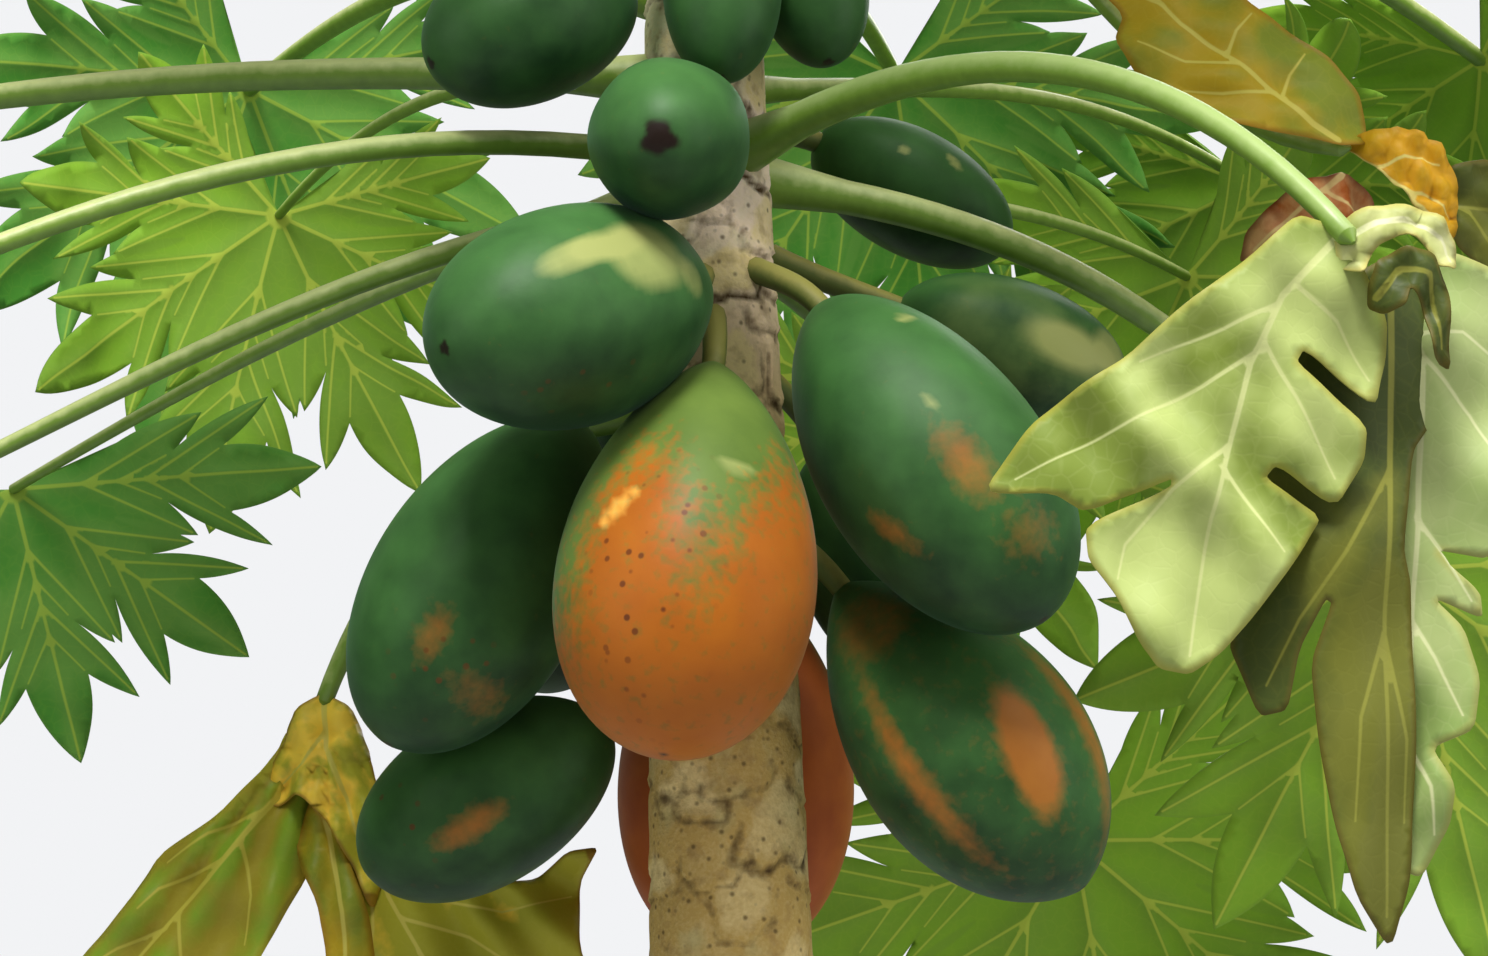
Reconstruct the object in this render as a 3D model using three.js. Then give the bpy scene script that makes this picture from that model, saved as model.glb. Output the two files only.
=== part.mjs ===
// A fruiting papaya tree, whole, from the flat cut at ground level to its youngest leaves.
// Millimetres, +Z up. The origin is the middle of the flat cut under the trunk.
// +X is to the right and +Y is away from a viewer who faces the fruit.

import * as THREE from "three";

// Trunk: one stem that flares at the foot, leans a little to the left and tapers to its tip.
const TRUNK_HEIGHT = 2430;
const FOOT_RADIUS = 72;
const TIP_RADIUS = 30;
const TAPER_POWER = 1.4;
const FLARE_WIDTH = 30;
const FLARE_HEIGHT = 90;
const TRUNK_LEAN = 62;
const LEAN_POWER = 1.3;
const TRUNK_BOW = 18;
const TRUNK_SIDES = 14;
const TRUNK_LEVELS = 18;
const LEVEL_CROWDING = 1.5;

// Leaf stalks: each a curve that starts close to the trunk, without touching it.
const STALK_BASE_RADIUS = 11;
const STALK_TIP_RADIUS = 6;
const STALK_STEPS = 7;
const STALK_SIDES = 6;
const STALK_START_PULL = 0.42;
const STALK_END_PULL = 0.36;
const HUB_GAP = 12;
const TOUCH_GAP = 0.6;
const ALONG_X = 0.9;

// Leaf blades: pointed lobes round a hub, open at the back where the stalk comes in. The shoulder
// and the notch are places on a lobe's edge, as shares of the lobe's length.
const LOBES = 7;
const LOBE_SPREAD = 284;
const BLADE_THICKNESS = 3;
const SINUS_DEPTH = 0.3;
const REAR_LOBE_LENGTH = 0.66;
const LOBE_LENGTH_POWER = 1.6;
const SHOULDER = { along: 0.6, half: 0.2, rib: 0.5 };
const NOTCH = { along: 0.79, half: 0.09, rib: 0.76 };
const LOBE_ROOM = 0.84;
const EDGE_LIFT = 0.12;
const FRESH_BEND = 32;

// Fruit: a stalk of its own from the trunk, then a body of one smooth swelling.
const FRUIT_SIDES = 8;
const FRUIT_RINGS = 6;
const FRUIT_STALK_RADIUS = 7;
const FRUIT_STALK_DIP = 25;
const FRUIT_STALK_PULL = 1 / 3;
const FRUIT_BLUNTNESS = 0.5;

// The young leaves stand over the tip of the trunk in one uneven mass: narrow where their stalks
// leave the tip, widest a little over half way up and domed above.
const YOUNG_TOP = 2870;
const YOUNG_RADIUS = 245;
const YOUNG_WIDEST = 0.55;
const YOUNG_RINGS = 8;
const YOUNG_SIDES = 12;
const YOUNG_UNEVEN = 0.12;
const YOUNG_WAVES = 5;
const YOUNG_TWIST = 0.9;

const COLOURS = {
  bark: "#a08a62",
  stalk: "#8fa04a",
  green: "#37752f",
  wilting: "#a9b763",
  golden: "#a8912a",
  dead: "#8d8a2c",
  young: "#6fa038",
  unripe: "#36603d",
  turning: "#4a5f2c",
  ripe: "#c9741e",
  red: "#9a4a20",
};

const ROUGHNESS = { bark: 0.85, leaf: 0.6, stalk: 0.55, fruit: 0.45 };

const radians = THREE.MathUtils.degToRad;

// A unit vector at a compass angle from +X, and at a height angle above the level.
function heading(azimuth, rise = 0) {
  const flat = Math.cos(radians(rise));
  const x = flat * Math.cos(radians(azimuth));
  const y = flat * Math.sin(radians(azimuth));
  return new THREE.Vector3(x, y, Math.sin(radians(rise)));
}

function trunkAxis(height) {
  const share = height / TRUNK_HEIGHT;
  const x = -TRUNK_LEAN * share ** LEAN_POWER;
  const y = TRUNK_BOW * Math.sin(Math.PI * share);
  return new THREE.Vector3(x, y, height);
}

function trunkRadius(height) {
  const taper = (FOOT_RADIUS - TIP_RADIUS) * (height / TRUNK_HEIGHT) ** TAPER_POWER;
  return FOOT_RADIUS - taper + FLARE_WIDTH * Math.exp(-height / FLARE_HEIGHT);
}

function finish(name, geometry, colour, roughness) {
  const material = new THREE.MeshStandardMaterial({ color: colour, roughness, metalness: 0 });
  geometry.computeVertexNormals();
  const mesh = new THREE.Mesh(geometry, material);
  mesh.name = name;
  return mesh;
}

function indexed(points, faces) {
  const geometry = new THREE.BufferGeometry();
  const numbers = points.flatMap((point) => point.toArray());
  geometry.setAttribute("position", new THREE.Float32BufferAttribute(numbers, 3));
  geometry.setIndex(faces.flat());
  return geometry;
}

// A closed body with one ring of points at each station, and a flat or pointed cap at each end.
// A station has a point, a direction along the body and a radius.
function sweep(stations, sides, uneven = () => 1) {
  const points = [];
  const faces = [];
  let previous = stations[0].along;
  const alongX = Math.abs(previous.x) > ALONG_X;
  const across = alongX ? new THREE.Vector3(0, 1, 0) : new THREE.Vector3(1, 0, 0);
  across.addScaledVector(previous, -across.dot(previous)).normalize();
  stations.forEach((station, level) => {
    across.applyQuaternion(new THREE.Quaternion().setFromUnitVectors(previous, station.along));
    previous = station.along;
    const other = new THREE.Vector3().crossVectors(station.along, across);
    for (let side = 0; side < sides; side += 1) {
      const angle = (2 * Math.PI * side) / sides;
      const reach = station.radius * uneven(level, angle);
      const point = station.point.clone();
      point.addScaledVector(across, reach * Math.cos(angle));
      point.addScaledVector(other, reach * Math.sin(angle));
      points.push(point);
    }
  });
  const last = stations.length - 1;
  for (let side = 0; side < sides; side += 1) {
    const next = (side + 1) % sides;
    for (let level = 0; level < last; level += 1) {
      const here = level * sides;
      const above = here + sides;
      faces.push([here + side, here + next, above + next]);
      faces.push([here + side, above + next, above + side]);
    }
    faces.push([points.length, next, side]);
    faces.push([points.length + 1, last * sides + side, last * sides + next]);
  }
  points.push(stations[0].cap ?? stations[0].point, stations[last].cap ?? stations[last].point);
  return indexed(points, faces);
}

// A thin plate between an upper and a lower copy of the same faces, with walls along the free edges.
function plate(places, faces, thickness) {
  const upper = places.map(({ point, normal }) => point.clone().addScaledVector(normal, thickness / 2));
  const lower = places.map(({ point, normal }) => point.clone().addScaledVector(normal, -thickness / 2));
  const under = (corner) => corner + places.length;
  const edges = new Set(faces.flatMap(([a, b, c]) => [`${a} ${b}`, `${b} ${c}`, `${c} ${a}`]));
  const walls = [];
  for (const edge of edges) {
    const [a, b] = edge.split(" ").map(Number);
    if (!edges.has(`${b} ${a}`)) {
      walls.push([a, under(a), under(b)], [a, under(b), b]);
    }
  }
  const below = faces.map(([a, b, c]) => [under(a), under(c), under(b)]);
  return indexed([...upper, ...lower], [...faces, ...below, ...walls]);
}

// The blade in its own frame: hub at the origin, middle lobe along +X, upper side towards +Z.
function bladeGeometry(leaf) {
  const { radius, lobes: count = LOBES, spread = LOBE_SPREAD } = leaf;
  const { bend = FRESH_BEND, rear = REAR_LOBE_LENGTH } = leaf;
  const places = [];
  const faces = [];
  const place = (distance, azimuth, lift) => {
    const turn = (radians(bend) * distance) / radius;
    const bow = radius / radians(bend);
    const out = heading(azimuth);
    const point = out.clone().multiplyScalar(bow * Math.sin(turn));
    point.z = -bow * (1 - Math.cos(turn));
    const normal = out.clone().multiplyScalar(Math.sin(turn)).setZ(Math.cos(turn));
    point.addScaledVector(normal, lift);
    return places.push({ point, normal }) - 1;
  };
  const step = spread / count;
  const room = Math.tan(radians(step * LOBE_ROOM) / 2);
  const crowding = Math.min(1, room * (SHOULDER.along / SHOULDER.half));
  const middle = (count - 1) / 2;
  const lobes = Array.from({ length: count }, (_, index) => {
    const rearward = Math.abs(index - middle) / middle;
    const length = radius * (1 - (1 - rear) * rearward ** LOBE_LENGTH_POWER);
    return { azimuth: (index - middle) * step, length };
  });
  const hub = place(0, 0, 0);
  const sinus = Array.from({ length: count + 1 }, (_, index) => {
    const near = lobes[Math.max(index - 1, 0)];
    const far = lobes[Math.min(index, count - 1)];
    const depth = SINUS_DEPTH * Math.min(near.length, far.length);
    return place(depth, (index - count / 2) * step, 0);
  });
  lobes.forEach(({ azimuth, length }, index) => {
    const edge = (part, side) => {
      const half = part.half * crowding;
      const turn = THREE.MathUtils.radToDeg(Math.atan2(half, part.along));
      const distance = length * Math.hypot(half, part.along);
      return place(distance, azimuth + side * turn, EDGE_LIFT * half * length);
    };
    const right = [sinus[index], edge(SHOULDER, -1), edge(NOTCH, -1)];
    const left = [sinus[index + 1], edge(SHOULDER, 1), edge(NOTCH, 1)];
    const rib = [SINUS_DEPTH, SHOULDER.rib, NOTCH.rib].map((share) => place(share * length, azimuth, 0));
    const tip = place(length, azimuth, 0);
    faces.push([hub, right[0], rib[0]], [hub, rib[0], left[0]]);
    for (let row = 0; row < 2; row += 1) {
      faces.push([right[row], right[row + 1], rib[row + 1]], [right[row], rib[row + 1], rib[row]]);
      faces.push([rib[row], rib[row + 1], left[row + 1]], [rib[row], left[row + 1], left[row]]);
    }
    faces.push([right[2], tip, rib[2]], [rib[2], tip, left[2]]);
  });
  return plate(places, faces, BLADE_THICKNESS);
}

// Each leaf: the compass angle and height at which its stalk leaves the trunk, how far out its hub
// is from the trunk's axis and how far below the base, the rise of the stalk where it starts and
// its fall where it ends, the blade's radius, the way its middle lobe points (azimuth, dip) and the
// way its upper side faces (azimuth, rise). Some also have: a turn, the angle by which the hub lies
// off the stalk's first course; a kind of leaf other than green; the number of lobes and the angle
// they spread over; the length of the rear lobes as a share of the middle one; and the angle
// through which the blade bends down from hub to tip, negative where it curls up.
const LEAVES = [
  { name: "left_level", azimuth: 180, base: 2190, reach: 700, drop: 66, rise: 2, fall: 14,
    radius: 290, point: [180, 48], face: [180, 42] },
  { name: "left_front", azimuth: 216, turn: -17, base: 2140, reach: 640, drop: 214, rise: -4, fall: 30,
    radius: 280, point: [199, 60], face: [199, 30] },
  { name: "left_low", azimuth: 184, base: 2116, reach: 560, drop: 228, rise: -14, fall: 24,
    radius: 262, point: [187, 75], face: [187, 15] },
  { name: "left_back_low", azimuth: 160, turn: -8, base: 2126, reach: 517, drop: 144, rise: -14, fall: 18,
    radius: 186, rear: 1.1, point: [30, 74], face: [100, 12], lobes: 5, spread: 203, bend: -16 },
  { name: "left_high", azimuth: 175, base: 2240, reach: 665, drop: -28, rise: 16, fall: 16,
    radius: 290, point: [175, 40], face: [175, 50] },
  { name: "back_left_high", azimuth: 124.5, base: 2255, reach: 602, drop: -65, rise: 20, fall: 10,
    radius: 300, point: [140, 62], face: [120, 25] },
  { name: "back_left", azimuth: 127.7, base: 2200, reach: 499, drop: -1, rise: 12, fall: 24,
    radius: 236, point: [150, 72], face: [110, 15] },
  { name: "right_front_wilting", azimuth: 311.3, base: 2142, reach: 474, drop: 129, rise: 8, fall: 48,
    radius: 310, point: [270, 84], face: [285, 4], lobes: 5, spread: 150, bend: 30, kind: "wilting" },
  { name: "right_golden", azimuth: 14, turn: -24, base: 2352, reach: 375, drop: 221, rise: 16, fall: 12,
    radius: 195, point: [178, 12], face: [300, 8], bend: -24, kind: "golden" },
  { name: "back_right", azimuth: 47.2, base: 2190, reach: 566, drop: -38, rise: 12, fall: 12,
    radius: 300, point: [40, 60], face: [40, 30] },
  { name: "right_back", azimuth: 60, turn: -10, base: 2140, reach: 520, drop: -18, rise: 6, fall: 14,
    radius: 285, point: [46, 70], face: [46, 20] },
  { name: "right_low", azimuth: 12, turn: 10, base: 2130, reach: 470, drop: 210, rise: -8, fall: 44,
    radius: 280, point: [10, 78], face: [76, 8], bend: -16 },
  { name: "back_right_low", azimuth: 60.4, base: 2090, reach: 508, drop: 326, rise: -10, fall: 55,
    radius: 305, point: [30, 78], face: [80, 10] },
  { name: "back_low", azimuth: 88, turn: -15, base: 2130, reach: 434, drop: 72, rise: 2, fall: 36,
    radius: 255, point: [72, 76], face: [72, 14] },
  { name: "back_high", azimuth: 73.2, base: 2260, reach: 466, drop: -57, rise: 22, fall: 14,
    radius: 300, point: [73, 55], face: [73, 35] },
  { name: "right_high", azimuth: 29.3, base: 2300, reach: 606, drop: 14, rise: 20, fall: 26,
    radius: 290, point: [29, 50], face: [29, 40] },
  { name: "left_dead", azimuth: 149.8, base: 2000, reach: 280, drop: 165, rise: -8, fall: 66,
    radius: 285, point: [250, 86], face: [262, 2], lobes: 5, spread: 115, bend: 30, kind: "dead" },
  { name: "front_left_high", azimuth: 236, base: 2340, reach: 400, drop: -300, rise: 40, fall: -20,
    radius: 275, point: [236, 16], face: [236, 74] },
  { name: "front_right_high", azimuth: 292, base: 2370, reach: 390, drop: -290, rise: 38, fall: -24,
    radius: 270, point: [292, 14], face: [292, 76] },
  { name: "right_front_high", azimuth: 344, base: 2376, reach: 480, drop: -200, rise: 42, fall: 0,
    radius: 280, point: [344, 26], face: [344, 64] },
  { name: "back_top", azimuth: 105, base: 2385, reach: 480, drop: -170, rise: 44, fall: 4,
    radius: 265, point: [105, 26], face: [105, 64] },
];

function hubOf(leaf) {
  const hub = trunkAxis(leaf.base).addScaledVector(heading(leaf.azimuth + (leaf.turn ?? 0)), leaf.reach);
  hub.z -= leaf.drop;
  return hub;
}

function stalkMesh(leaf) {
  const out = heading(leaf.azimuth);
  const foot = trunkAxis(leaf.base);
  const lean = STALK_BASE_RADIUS * Math.abs(Math.sin(radians(leaf.rise)));
  const start = foot.clone().addScaledVector(out, trunkRadius(leaf.base) + lean + TOUCH_GAP);
  const hub = hubOf(leaf);
  const away = heading(leaf.azimuth, leaf.rise);
  const inward = heading(leaf.azimuth + 2 * (leaf.turn ?? 0), -leaf.fall);
  const length = start.distanceTo(hub);
  const end = hub.clone().addScaledVector(inward, -HUB_GAP);
  const curve = new THREE.CubicBezierCurve3(
    start,
    start.clone().addScaledVector(away, STALK_START_PULL * length),
    end.clone().addScaledVector(inward, -STALK_END_PULL * length),
    end,
  );
  const stations = Array.from({ length: STALK_STEPS + 1 }, (_, step) => {
    const share = step / STALK_STEPS;
    const radius = THREE.MathUtils.lerp(STALK_BASE_RADIUS, STALK_TIP_RADIUS, share);
    return { point: curve.getPoint(share), along: curve.getTangent(share), radius };
  });
  return finish(`petiole_${leaf.name}`, sweep(stations, STALK_SIDES), COLOURS.stalk, ROUGHNESS.stalk);
}

function bladeMesh(leaf) {
  const kind = leaf.kind ?? "green";
  const mesh = finish(`blade_${leaf.name}`, bladeGeometry(leaf), COLOURS[kind], ROUGHNESS.leaf);
  const forward = heading(leaf.point[0], -leaf.point[1]);
  const upper = heading(...leaf.face);
  upper.addScaledVector(forward, -upper.dot(forward)).normalize();
  const side = new THREE.Vector3().crossVectors(upper, forward);
  mesh.quaternion.setFromRotationMatrix(new THREE.Matrix4().makeBasis(forward, side, upper));
  mesh.position.copy(hubOf(leaf));
  return mesh;
}

// Each fruit: the compass angle of its stem end and how far that is from the trunk's axis, the
// height where its stalk leaves the trunk and how far the stem end is below it, the way the fruit
// points (azimuth, dip), its length and width, the share of its length at its widest, and its
// ripeness where it isn't unripe.
const FRUITS = [
  { name: "top_left", azimuth: 238, attach: 2275, out: 78, drop: 46, point: [205, 28], length: 135,
    width: 94, belly: 0.5 },
  { name: "top_middle", azimuth: 287, attach: 2318, out: 57, drop: 30, point: [266, 74], length: 130,
    width: 70, belly: 0.52 },
  { name: "top_right", azimuth: 347, attach: 2330, out: 57, drop: 28, point: [304, 72], length: 122,
    width: 69, belly: 0.52 },
  { name: "upper_front", azimuth: 258, attach: 2148, out: 66, drop: 12, point: [266, 14], length: 146,
    width: 91, belly: 0.54 },
  { name: "upper_left", azimuth: 262, attach: 2064, out: 76, drop: 14, point: [225, 19], length: 192,
    width: 124, belly: 0.52 },
  { name: "upper_right", azimuth: 38, attach: 2172, out: 84, drop: 6, point: [19, 24], length: 138,
    width: 78, belly: 0.5 },
  { name: "front_ripe", azimuth: 271, attach: 2040, out: 87, drop: 37, point: [248, 73], length: 236,
    width: 146, belly: 0.6, kind: "ripe" },
  { name: "left", azimuth: 192, attach: 2030, out: 79, drop: 48, point: [196, 60], length: 220,
    width: 127, belly: 0.54 },
  { name: "lower_left", azimuth: 166, attach: 1838, out: 68, drop: 30, point: [176, 30], length: 166,
    width: 104, belly: 0.52 },
  { name: "right", azimuth: 316, attach: 2070, out: 87, drop: 29, point: [338, 55], length: 228,
    width: 130, belly: 0.54 },
  { name: "right_behind", azimuth: 10, attach: 2085, out: 112, drop: 28, point: [6, 20], length: 146,
    width: 86, belly: 0.52 },
  { name: "lower_right", azimuth: 357, attach: 1915, out: 70, drop: 27, point: [352, 52], length: 224,
    width: 136, belly: 0.56, kind: "turning" },
  { name: "behind_ripe", azimuth: 83, attach: 1960, out: 96, drop: 56, point: [92, 74], length: 238,
    width: 148, belly: 0.56, kind: "red" },
  { name: "behind_upper", azimuth: 108, attach: 2120, out: 78, drop: 16, point: [106, 58], length: 158,
    width: 106, belly: 0.52 },
  { name: "behind_left", azimuth: 128, attach: 2010, out: 88, drop: 34, point: [138, 58], length: 160,
    width: 100, belly: 0.52 },
  { name: "behind_right", azimuth: 44, attach: 2020, out: 92, drop: 40, point: [40, 57], length: 164,
    width: 100, belly: 0.52 },
];

function fruitMesh(fruit) {
  const root = trunkAxis(fruit.attach);
  const out = heading(fruit.azimuth);
  const stem = root.clone().addScaledVector(out, fruit.out);
  stem.z -= fruit.drop;
  const along = heading(fruit.point[0], -fruit.point[1]);
  const lean = FRUIT_STALK_RADIUS * Math.sin(radians(FRUIT_STALK_DIP));
  const start = root.addScaledVector(out, trunkRadius(fruit.attach) + lean + TOUCH_GAP);
  const pull = FRUIT_STALK_PULL * start.distanceTo(stem);
  const stalk = new THREE.CubicBezierCurve3(
    start,
    start.clone().addScaledVector(heading(fruit.azimuth, -FRUIT_STALK_DIP), pull),
    stem.clone().addScaledVector(along, -pull),
    stem,
  );
  const stations = [0, 0.5].map((share) => {
    return { point: stalk.getPoint(share), along: stalk.getTangent(share), radius: FRUIT_STALK_RADIUS };
  });
  const early = (FRUIT_BLUNTNESS * fruit.belly) / (1 - fruit.belly);
  for (let ring = 0; ring < FRUIT_RINGS; ring += 1) {
    const share = (1 - Math.cos((Math.PI * (ring + 0.5)) / FRUIT_RINGS)) / 2;
    const swell = (share / fruit.belly) ** early * ((1 - share) / (1 - fruit.belly)) ** FRUIT_BLUNTNESS;
    const point = stem.clone().addScaledVector(along, share * fruit.length);
    stations.push({ point, along, radius: (fruit.width / 2) * swell });
  }
  stations[stations.length - 1].cap = stem.clone().addScaledVector(along, fruit.length);
  const colour = COLOURS[fruit.kind ?? "unripe"];
  return finish(`fruit_${fruit.name}`, sweep(stations, FRUIT_SIDES), colour, ROUGHNESS.fruit);
}

function trunkMesh() {
  const stations = Array.from({ length: TRUNK_LEVELS }, (_, level) => {
    const height = TRUNK_HEIGHT * (level / (TRUNK_LEVELS - 1)) ** LEVEL_CROWDING;
    return { point: trunkAxis(height), along: heading(0, 90), radius: trunkRadius(height) };
  });
  return finish("trunk", sweep(stations, TRUNK_SIDES), COLOURS.bark, ROUGHNESS.bark);
}

// The mass keeps a small flat foot on the trunk's tip, and its dome is a quarter turn of a circle.
function youngLeavesMesh() {
  const foot = trunkAxis(TRUNK_HEIGHT);
  const rise = YOUNG_TOP - TRUNK_HEIGHT;
  const stations = Array.from({ length: YOUNG_RINGS }, (_, ring) => {
    const share = ring / YOUNG_RINGS;
    const below = Math.min(share / YOUNG_WIDEST, 1);
    const above = Math.max(share - YOUNG_WIDEST, 0) / (1 - YOUNG_WIDEST);
    const spread = Math.sin((below * Math.PI) / 2) * Math.sqrt(1 - above ** 2);
    const radius = THREE.MathUtils.lerp(TIP_RADIUS, YOUNG_RADIUS, spread);
    const point = foot.clone().setZ(TRUNK_HEIGHT + TOUCH_GAP + share * rise);
    return { point, along: heading(0, 90), radius };
  });
  stations[YOUNG_RINGS - 1].cap = foot.clone().setZ(YOUNG_TOP);
  const uneven = (level, angle) => {
    const wave = Math.sin(YOUNG_WAVES * angle + YOUNG_TWIST * level);
    return 1 + YOUNG_UNEVEN * wave * Math.min(level, 1);
  };
  return finish("young_leaves", sweep(stations, YOUNG_SIDES, uneven), COLOURS.young, ROUGHNESS.leaf);
}

const group = new THREE.Group();
group.add(trunkMesh(), youngLeavesMesh());
for (const leaf of LEAVES) {
  const part = new THREE.Group();
  part.add(stalkMesh(leaf), bladeMesh(leaf));
  group.add(part);
}
for (const fruit of FRUITS) {
  group.add(fruitMesh(fruit));
}

export default group;
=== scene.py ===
"""A fruiting papaya tree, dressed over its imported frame: trunk, leaf stalks, leaf blades and fruit.

Metres, +Z up, with the origin in the middle of the flat cut under the trunk. +X is to the right and
+Y is away from a viewer who faces the fruit. Angles are in degrees.
"""
import logging
import math
from dataclasses import dataclass, replace
from enum import Enum

import bpy
import numpy as np
from mathutils import Matrix, Vector
from mathutils.geometry import delaunay_2d_cdt


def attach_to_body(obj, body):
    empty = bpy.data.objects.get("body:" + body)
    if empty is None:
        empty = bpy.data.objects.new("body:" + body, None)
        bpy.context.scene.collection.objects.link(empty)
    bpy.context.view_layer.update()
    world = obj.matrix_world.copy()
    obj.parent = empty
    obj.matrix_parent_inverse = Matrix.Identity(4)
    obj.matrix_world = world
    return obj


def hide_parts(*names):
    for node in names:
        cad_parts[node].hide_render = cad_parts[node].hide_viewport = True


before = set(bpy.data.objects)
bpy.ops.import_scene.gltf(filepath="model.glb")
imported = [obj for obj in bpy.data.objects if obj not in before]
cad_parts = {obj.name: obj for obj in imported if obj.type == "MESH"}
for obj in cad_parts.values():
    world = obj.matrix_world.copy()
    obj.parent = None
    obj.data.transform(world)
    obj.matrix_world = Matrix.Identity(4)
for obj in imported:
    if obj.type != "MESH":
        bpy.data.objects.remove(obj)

LOG = logging.getLogger("papaya_tree")
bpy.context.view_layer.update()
MM = 0.001
BODY = "root"

Piece = bpy.types.Object
Material = bpy.types.Material
Socket = bpy.types.NodeSocket
Tree = bpy.types.NodeTree

# A colour Mix node's sockets: its share, the colours under and over it, and the colour that it gives.
SHARE, UNDER, OVER, MIXED = 0, 6, 7, 2
COLOURS = {"data_type": "RGBA"}


def heading(azimuth: float, rise: float = 0.0) -> Vector:
    """Points along a compass angle and a height angle.

    Args:
        azimuth: Angle from +X, turning towards +Y.
        rise: Angle above the level.

    Returns:
        The unit vector.
    """
    flat = math.cos(math.radians(rise))
    turn = math.radians(azimuth)
    return Vector((flat * math.cos(turn), flat * math.sin(turn), math.sin(math.radians(rise))))


def linear(code: str) -> tuple[float, float, float, float]:
    """Turns an sRGB hex colour to linear light.

    Args:
        code: Colour such as "#37752f".

    Returns:
        Red, green, blue and an alpha of 1.
    """
    shares = [int(code[i : i + 2], 16) / 255 for i in (1, 3, 5)]
    light = [s / 12.92 if s <= 0.04045 else ((s + 0.055) / 1.055) ** 2.4 for s in shares]
    return (light[0], light[1], light[2], 1.0)


def smooth(low: float, high: float, value: np.ndarray) -> np.ndarray:
    """Returns the values eased from 0 where they are low to 1 where they are high."""
    share = np.clip((value - low) / (high - low), 0.0, 1.0)
    return share * share * (3 - 2 * share)


def add_node(tree: Tree, kind: str, settings: dict, links: dict, out: int | str = 0) -> Socket | None:
    """Adds one node with its settings and its incoming links.

    Args:
        tree: Node tree that takes the node.
        kind: Node type, without the ShaderNode that they all begin with.
        settings: Property names, or input names or numbers, with their values.
        links: Input names or numbers, with the sockets that feed them.
        out: Name or number of the output that is used.

    Returns:
        That output, or None from a node that has none.
    """
    node = tree.nodes.new(f"ShaderNode{kind}")
    for key, value in settings.items():
        if isinstance(key, int) or (key in node.inputs and not hasattr(node, key)):
            node.inputs[key].default_value = value
        else:
            setattr(node, key, value)
    for key, socket in links.items():
        tree.links.new(socket, node.inputs[key])
    return node.outputs[out] if node.outputs else None


def new_material(name: str, *attributes: str) -> tuple[Material, Tree, Socket | None, list[Socket]]:
    """Starts a material that reads its place on the object and the piece's own attributes.

    Args:
        name: Name of the finish.
        attributes: Names of the attributes, none for a plain finish.

    Returns:
        The material, its node tree, the object coordinates and a socket for each attribute.
    """
    material = bpy.data.materials.new(name)
    material.use_nodes = True
    tree = material.node_tree
    tree.nodes.clear()
    place = add_node(tree, "TexCoord", {}, {}, "Object") if attributes else None
    read = [add_node(tree, "Attribute", {"attribute_name": item}, {}, "Fac") for item in attributes]
    return material, tree, place, read


def ragged_share(
    tree: Tree, value: Socket, noise: Socket, amount: float, low: float, high: float
) -> Socket:
    """Turns a number to a share of a colour, with an edge that a noise makes ragged.

    Args:
        tree: Node tree that takes the nodes.
        value: Number that makes the share.
        noise: Noise that is added to it.
        amount: Factor of the noise.
        low: Sum that gives a share of 0.
        high: Sum that gives a share of 1.

    Returns:
        The share.
    """
    total = add_node(tree, "Math", {"operation": "MULTIPLY_ADD", 1: amount}, {0: noise, 2: value})
    return add_node(tree, "MapRange", {"From Min": low, "From Max": high}, {"Value": total})


def end_material(tree: Tree, colour: Socket, height: Socket, relief: dict, settings: dict) -> None:
    """Ends a material in one shader with its colour and relief.

    Args:
        tree: Node tree that takes the nodes.
        colour: Colour of the surface.
        height: Height of its relief.
        relief: Strength and depth of the relief.
        settings: The shader's constants.
    """
    bump = add_node(tree, "Bump", relief, {"Height": height})
    skin = add_node(tree, "BsdfPrincipled", settings, {"Base Color": colour, "Normal": bump})
    add_node(tree, "OutputMaterial", {}, {"Surface": skin})


def deselect() -> None:
    """Leaves nothing selected."""
    if bpy.context.object and bpy.context.object.mode != "OBJECT":
        bpy.ops.object.mode_set(mode="OBJECT")
    bpy.ops.object.select_all(action="DESELECT")


def choose(piece: Piece) -> None:
    """Selects one object alone and makes it active.

    Args:
        piece: Object to select.
    """
    deselect()
    piece.select_set(True)
    bpy.context.view_layer.objects.active = piece


def mesh_piece(name: str, points: np.ndarray, faces: list) -> Piece:
    """Makes a smooth-shaded mesh object at the origin.

    Args:
        name: Name of the piece.
        points: Vertex places, one row each.
        faces: Corner numbers of each face.

    Returns:
        The new object.
    """
    mesh = bpy.data.meshes.new(name)
    mesh.from_pydata([tuple(p) for p in points], [], faces)
    mesh.validate()
    mesh.shade_smooth()
    piece = bpy.data.objects.new(name, mesh)
    bpy.context.scene.collection.objects.link(piece)
    return piece


def paint(piece: Piece, name: str, values: np.ndarray) -> None:
    """Stores one number on each vertex, as an attribute that the piece's materials read."""
    layer = piece.data.attributes.new(name, "FLOAT", "POINT")
    layer.data.foreach_set("value", np.asarray(values, dtype=np.float32))


def paint_sky(piece: Piece) -> None:
    """Stores on each vertex how far it looks up, from -1 to 1.

    Args:
        piece: Mesh object.
    """
    normals = np.zeros(len(piece.data.vertices) * 3)
    piece.data.vertices.foreach_get("normal", normals)
    paint(piece, "sky", normals[2::3])


def apply_modifiers(piece: Piece) -> None:
    """Applies every modifier of a piece.

    Args:
        piece: Mesh object.
    """
    choose(piece)
    for modifier in list(piece.modifiers):
        bpy.ops.object.modifier_apply(modifier=modifier.name)


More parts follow.
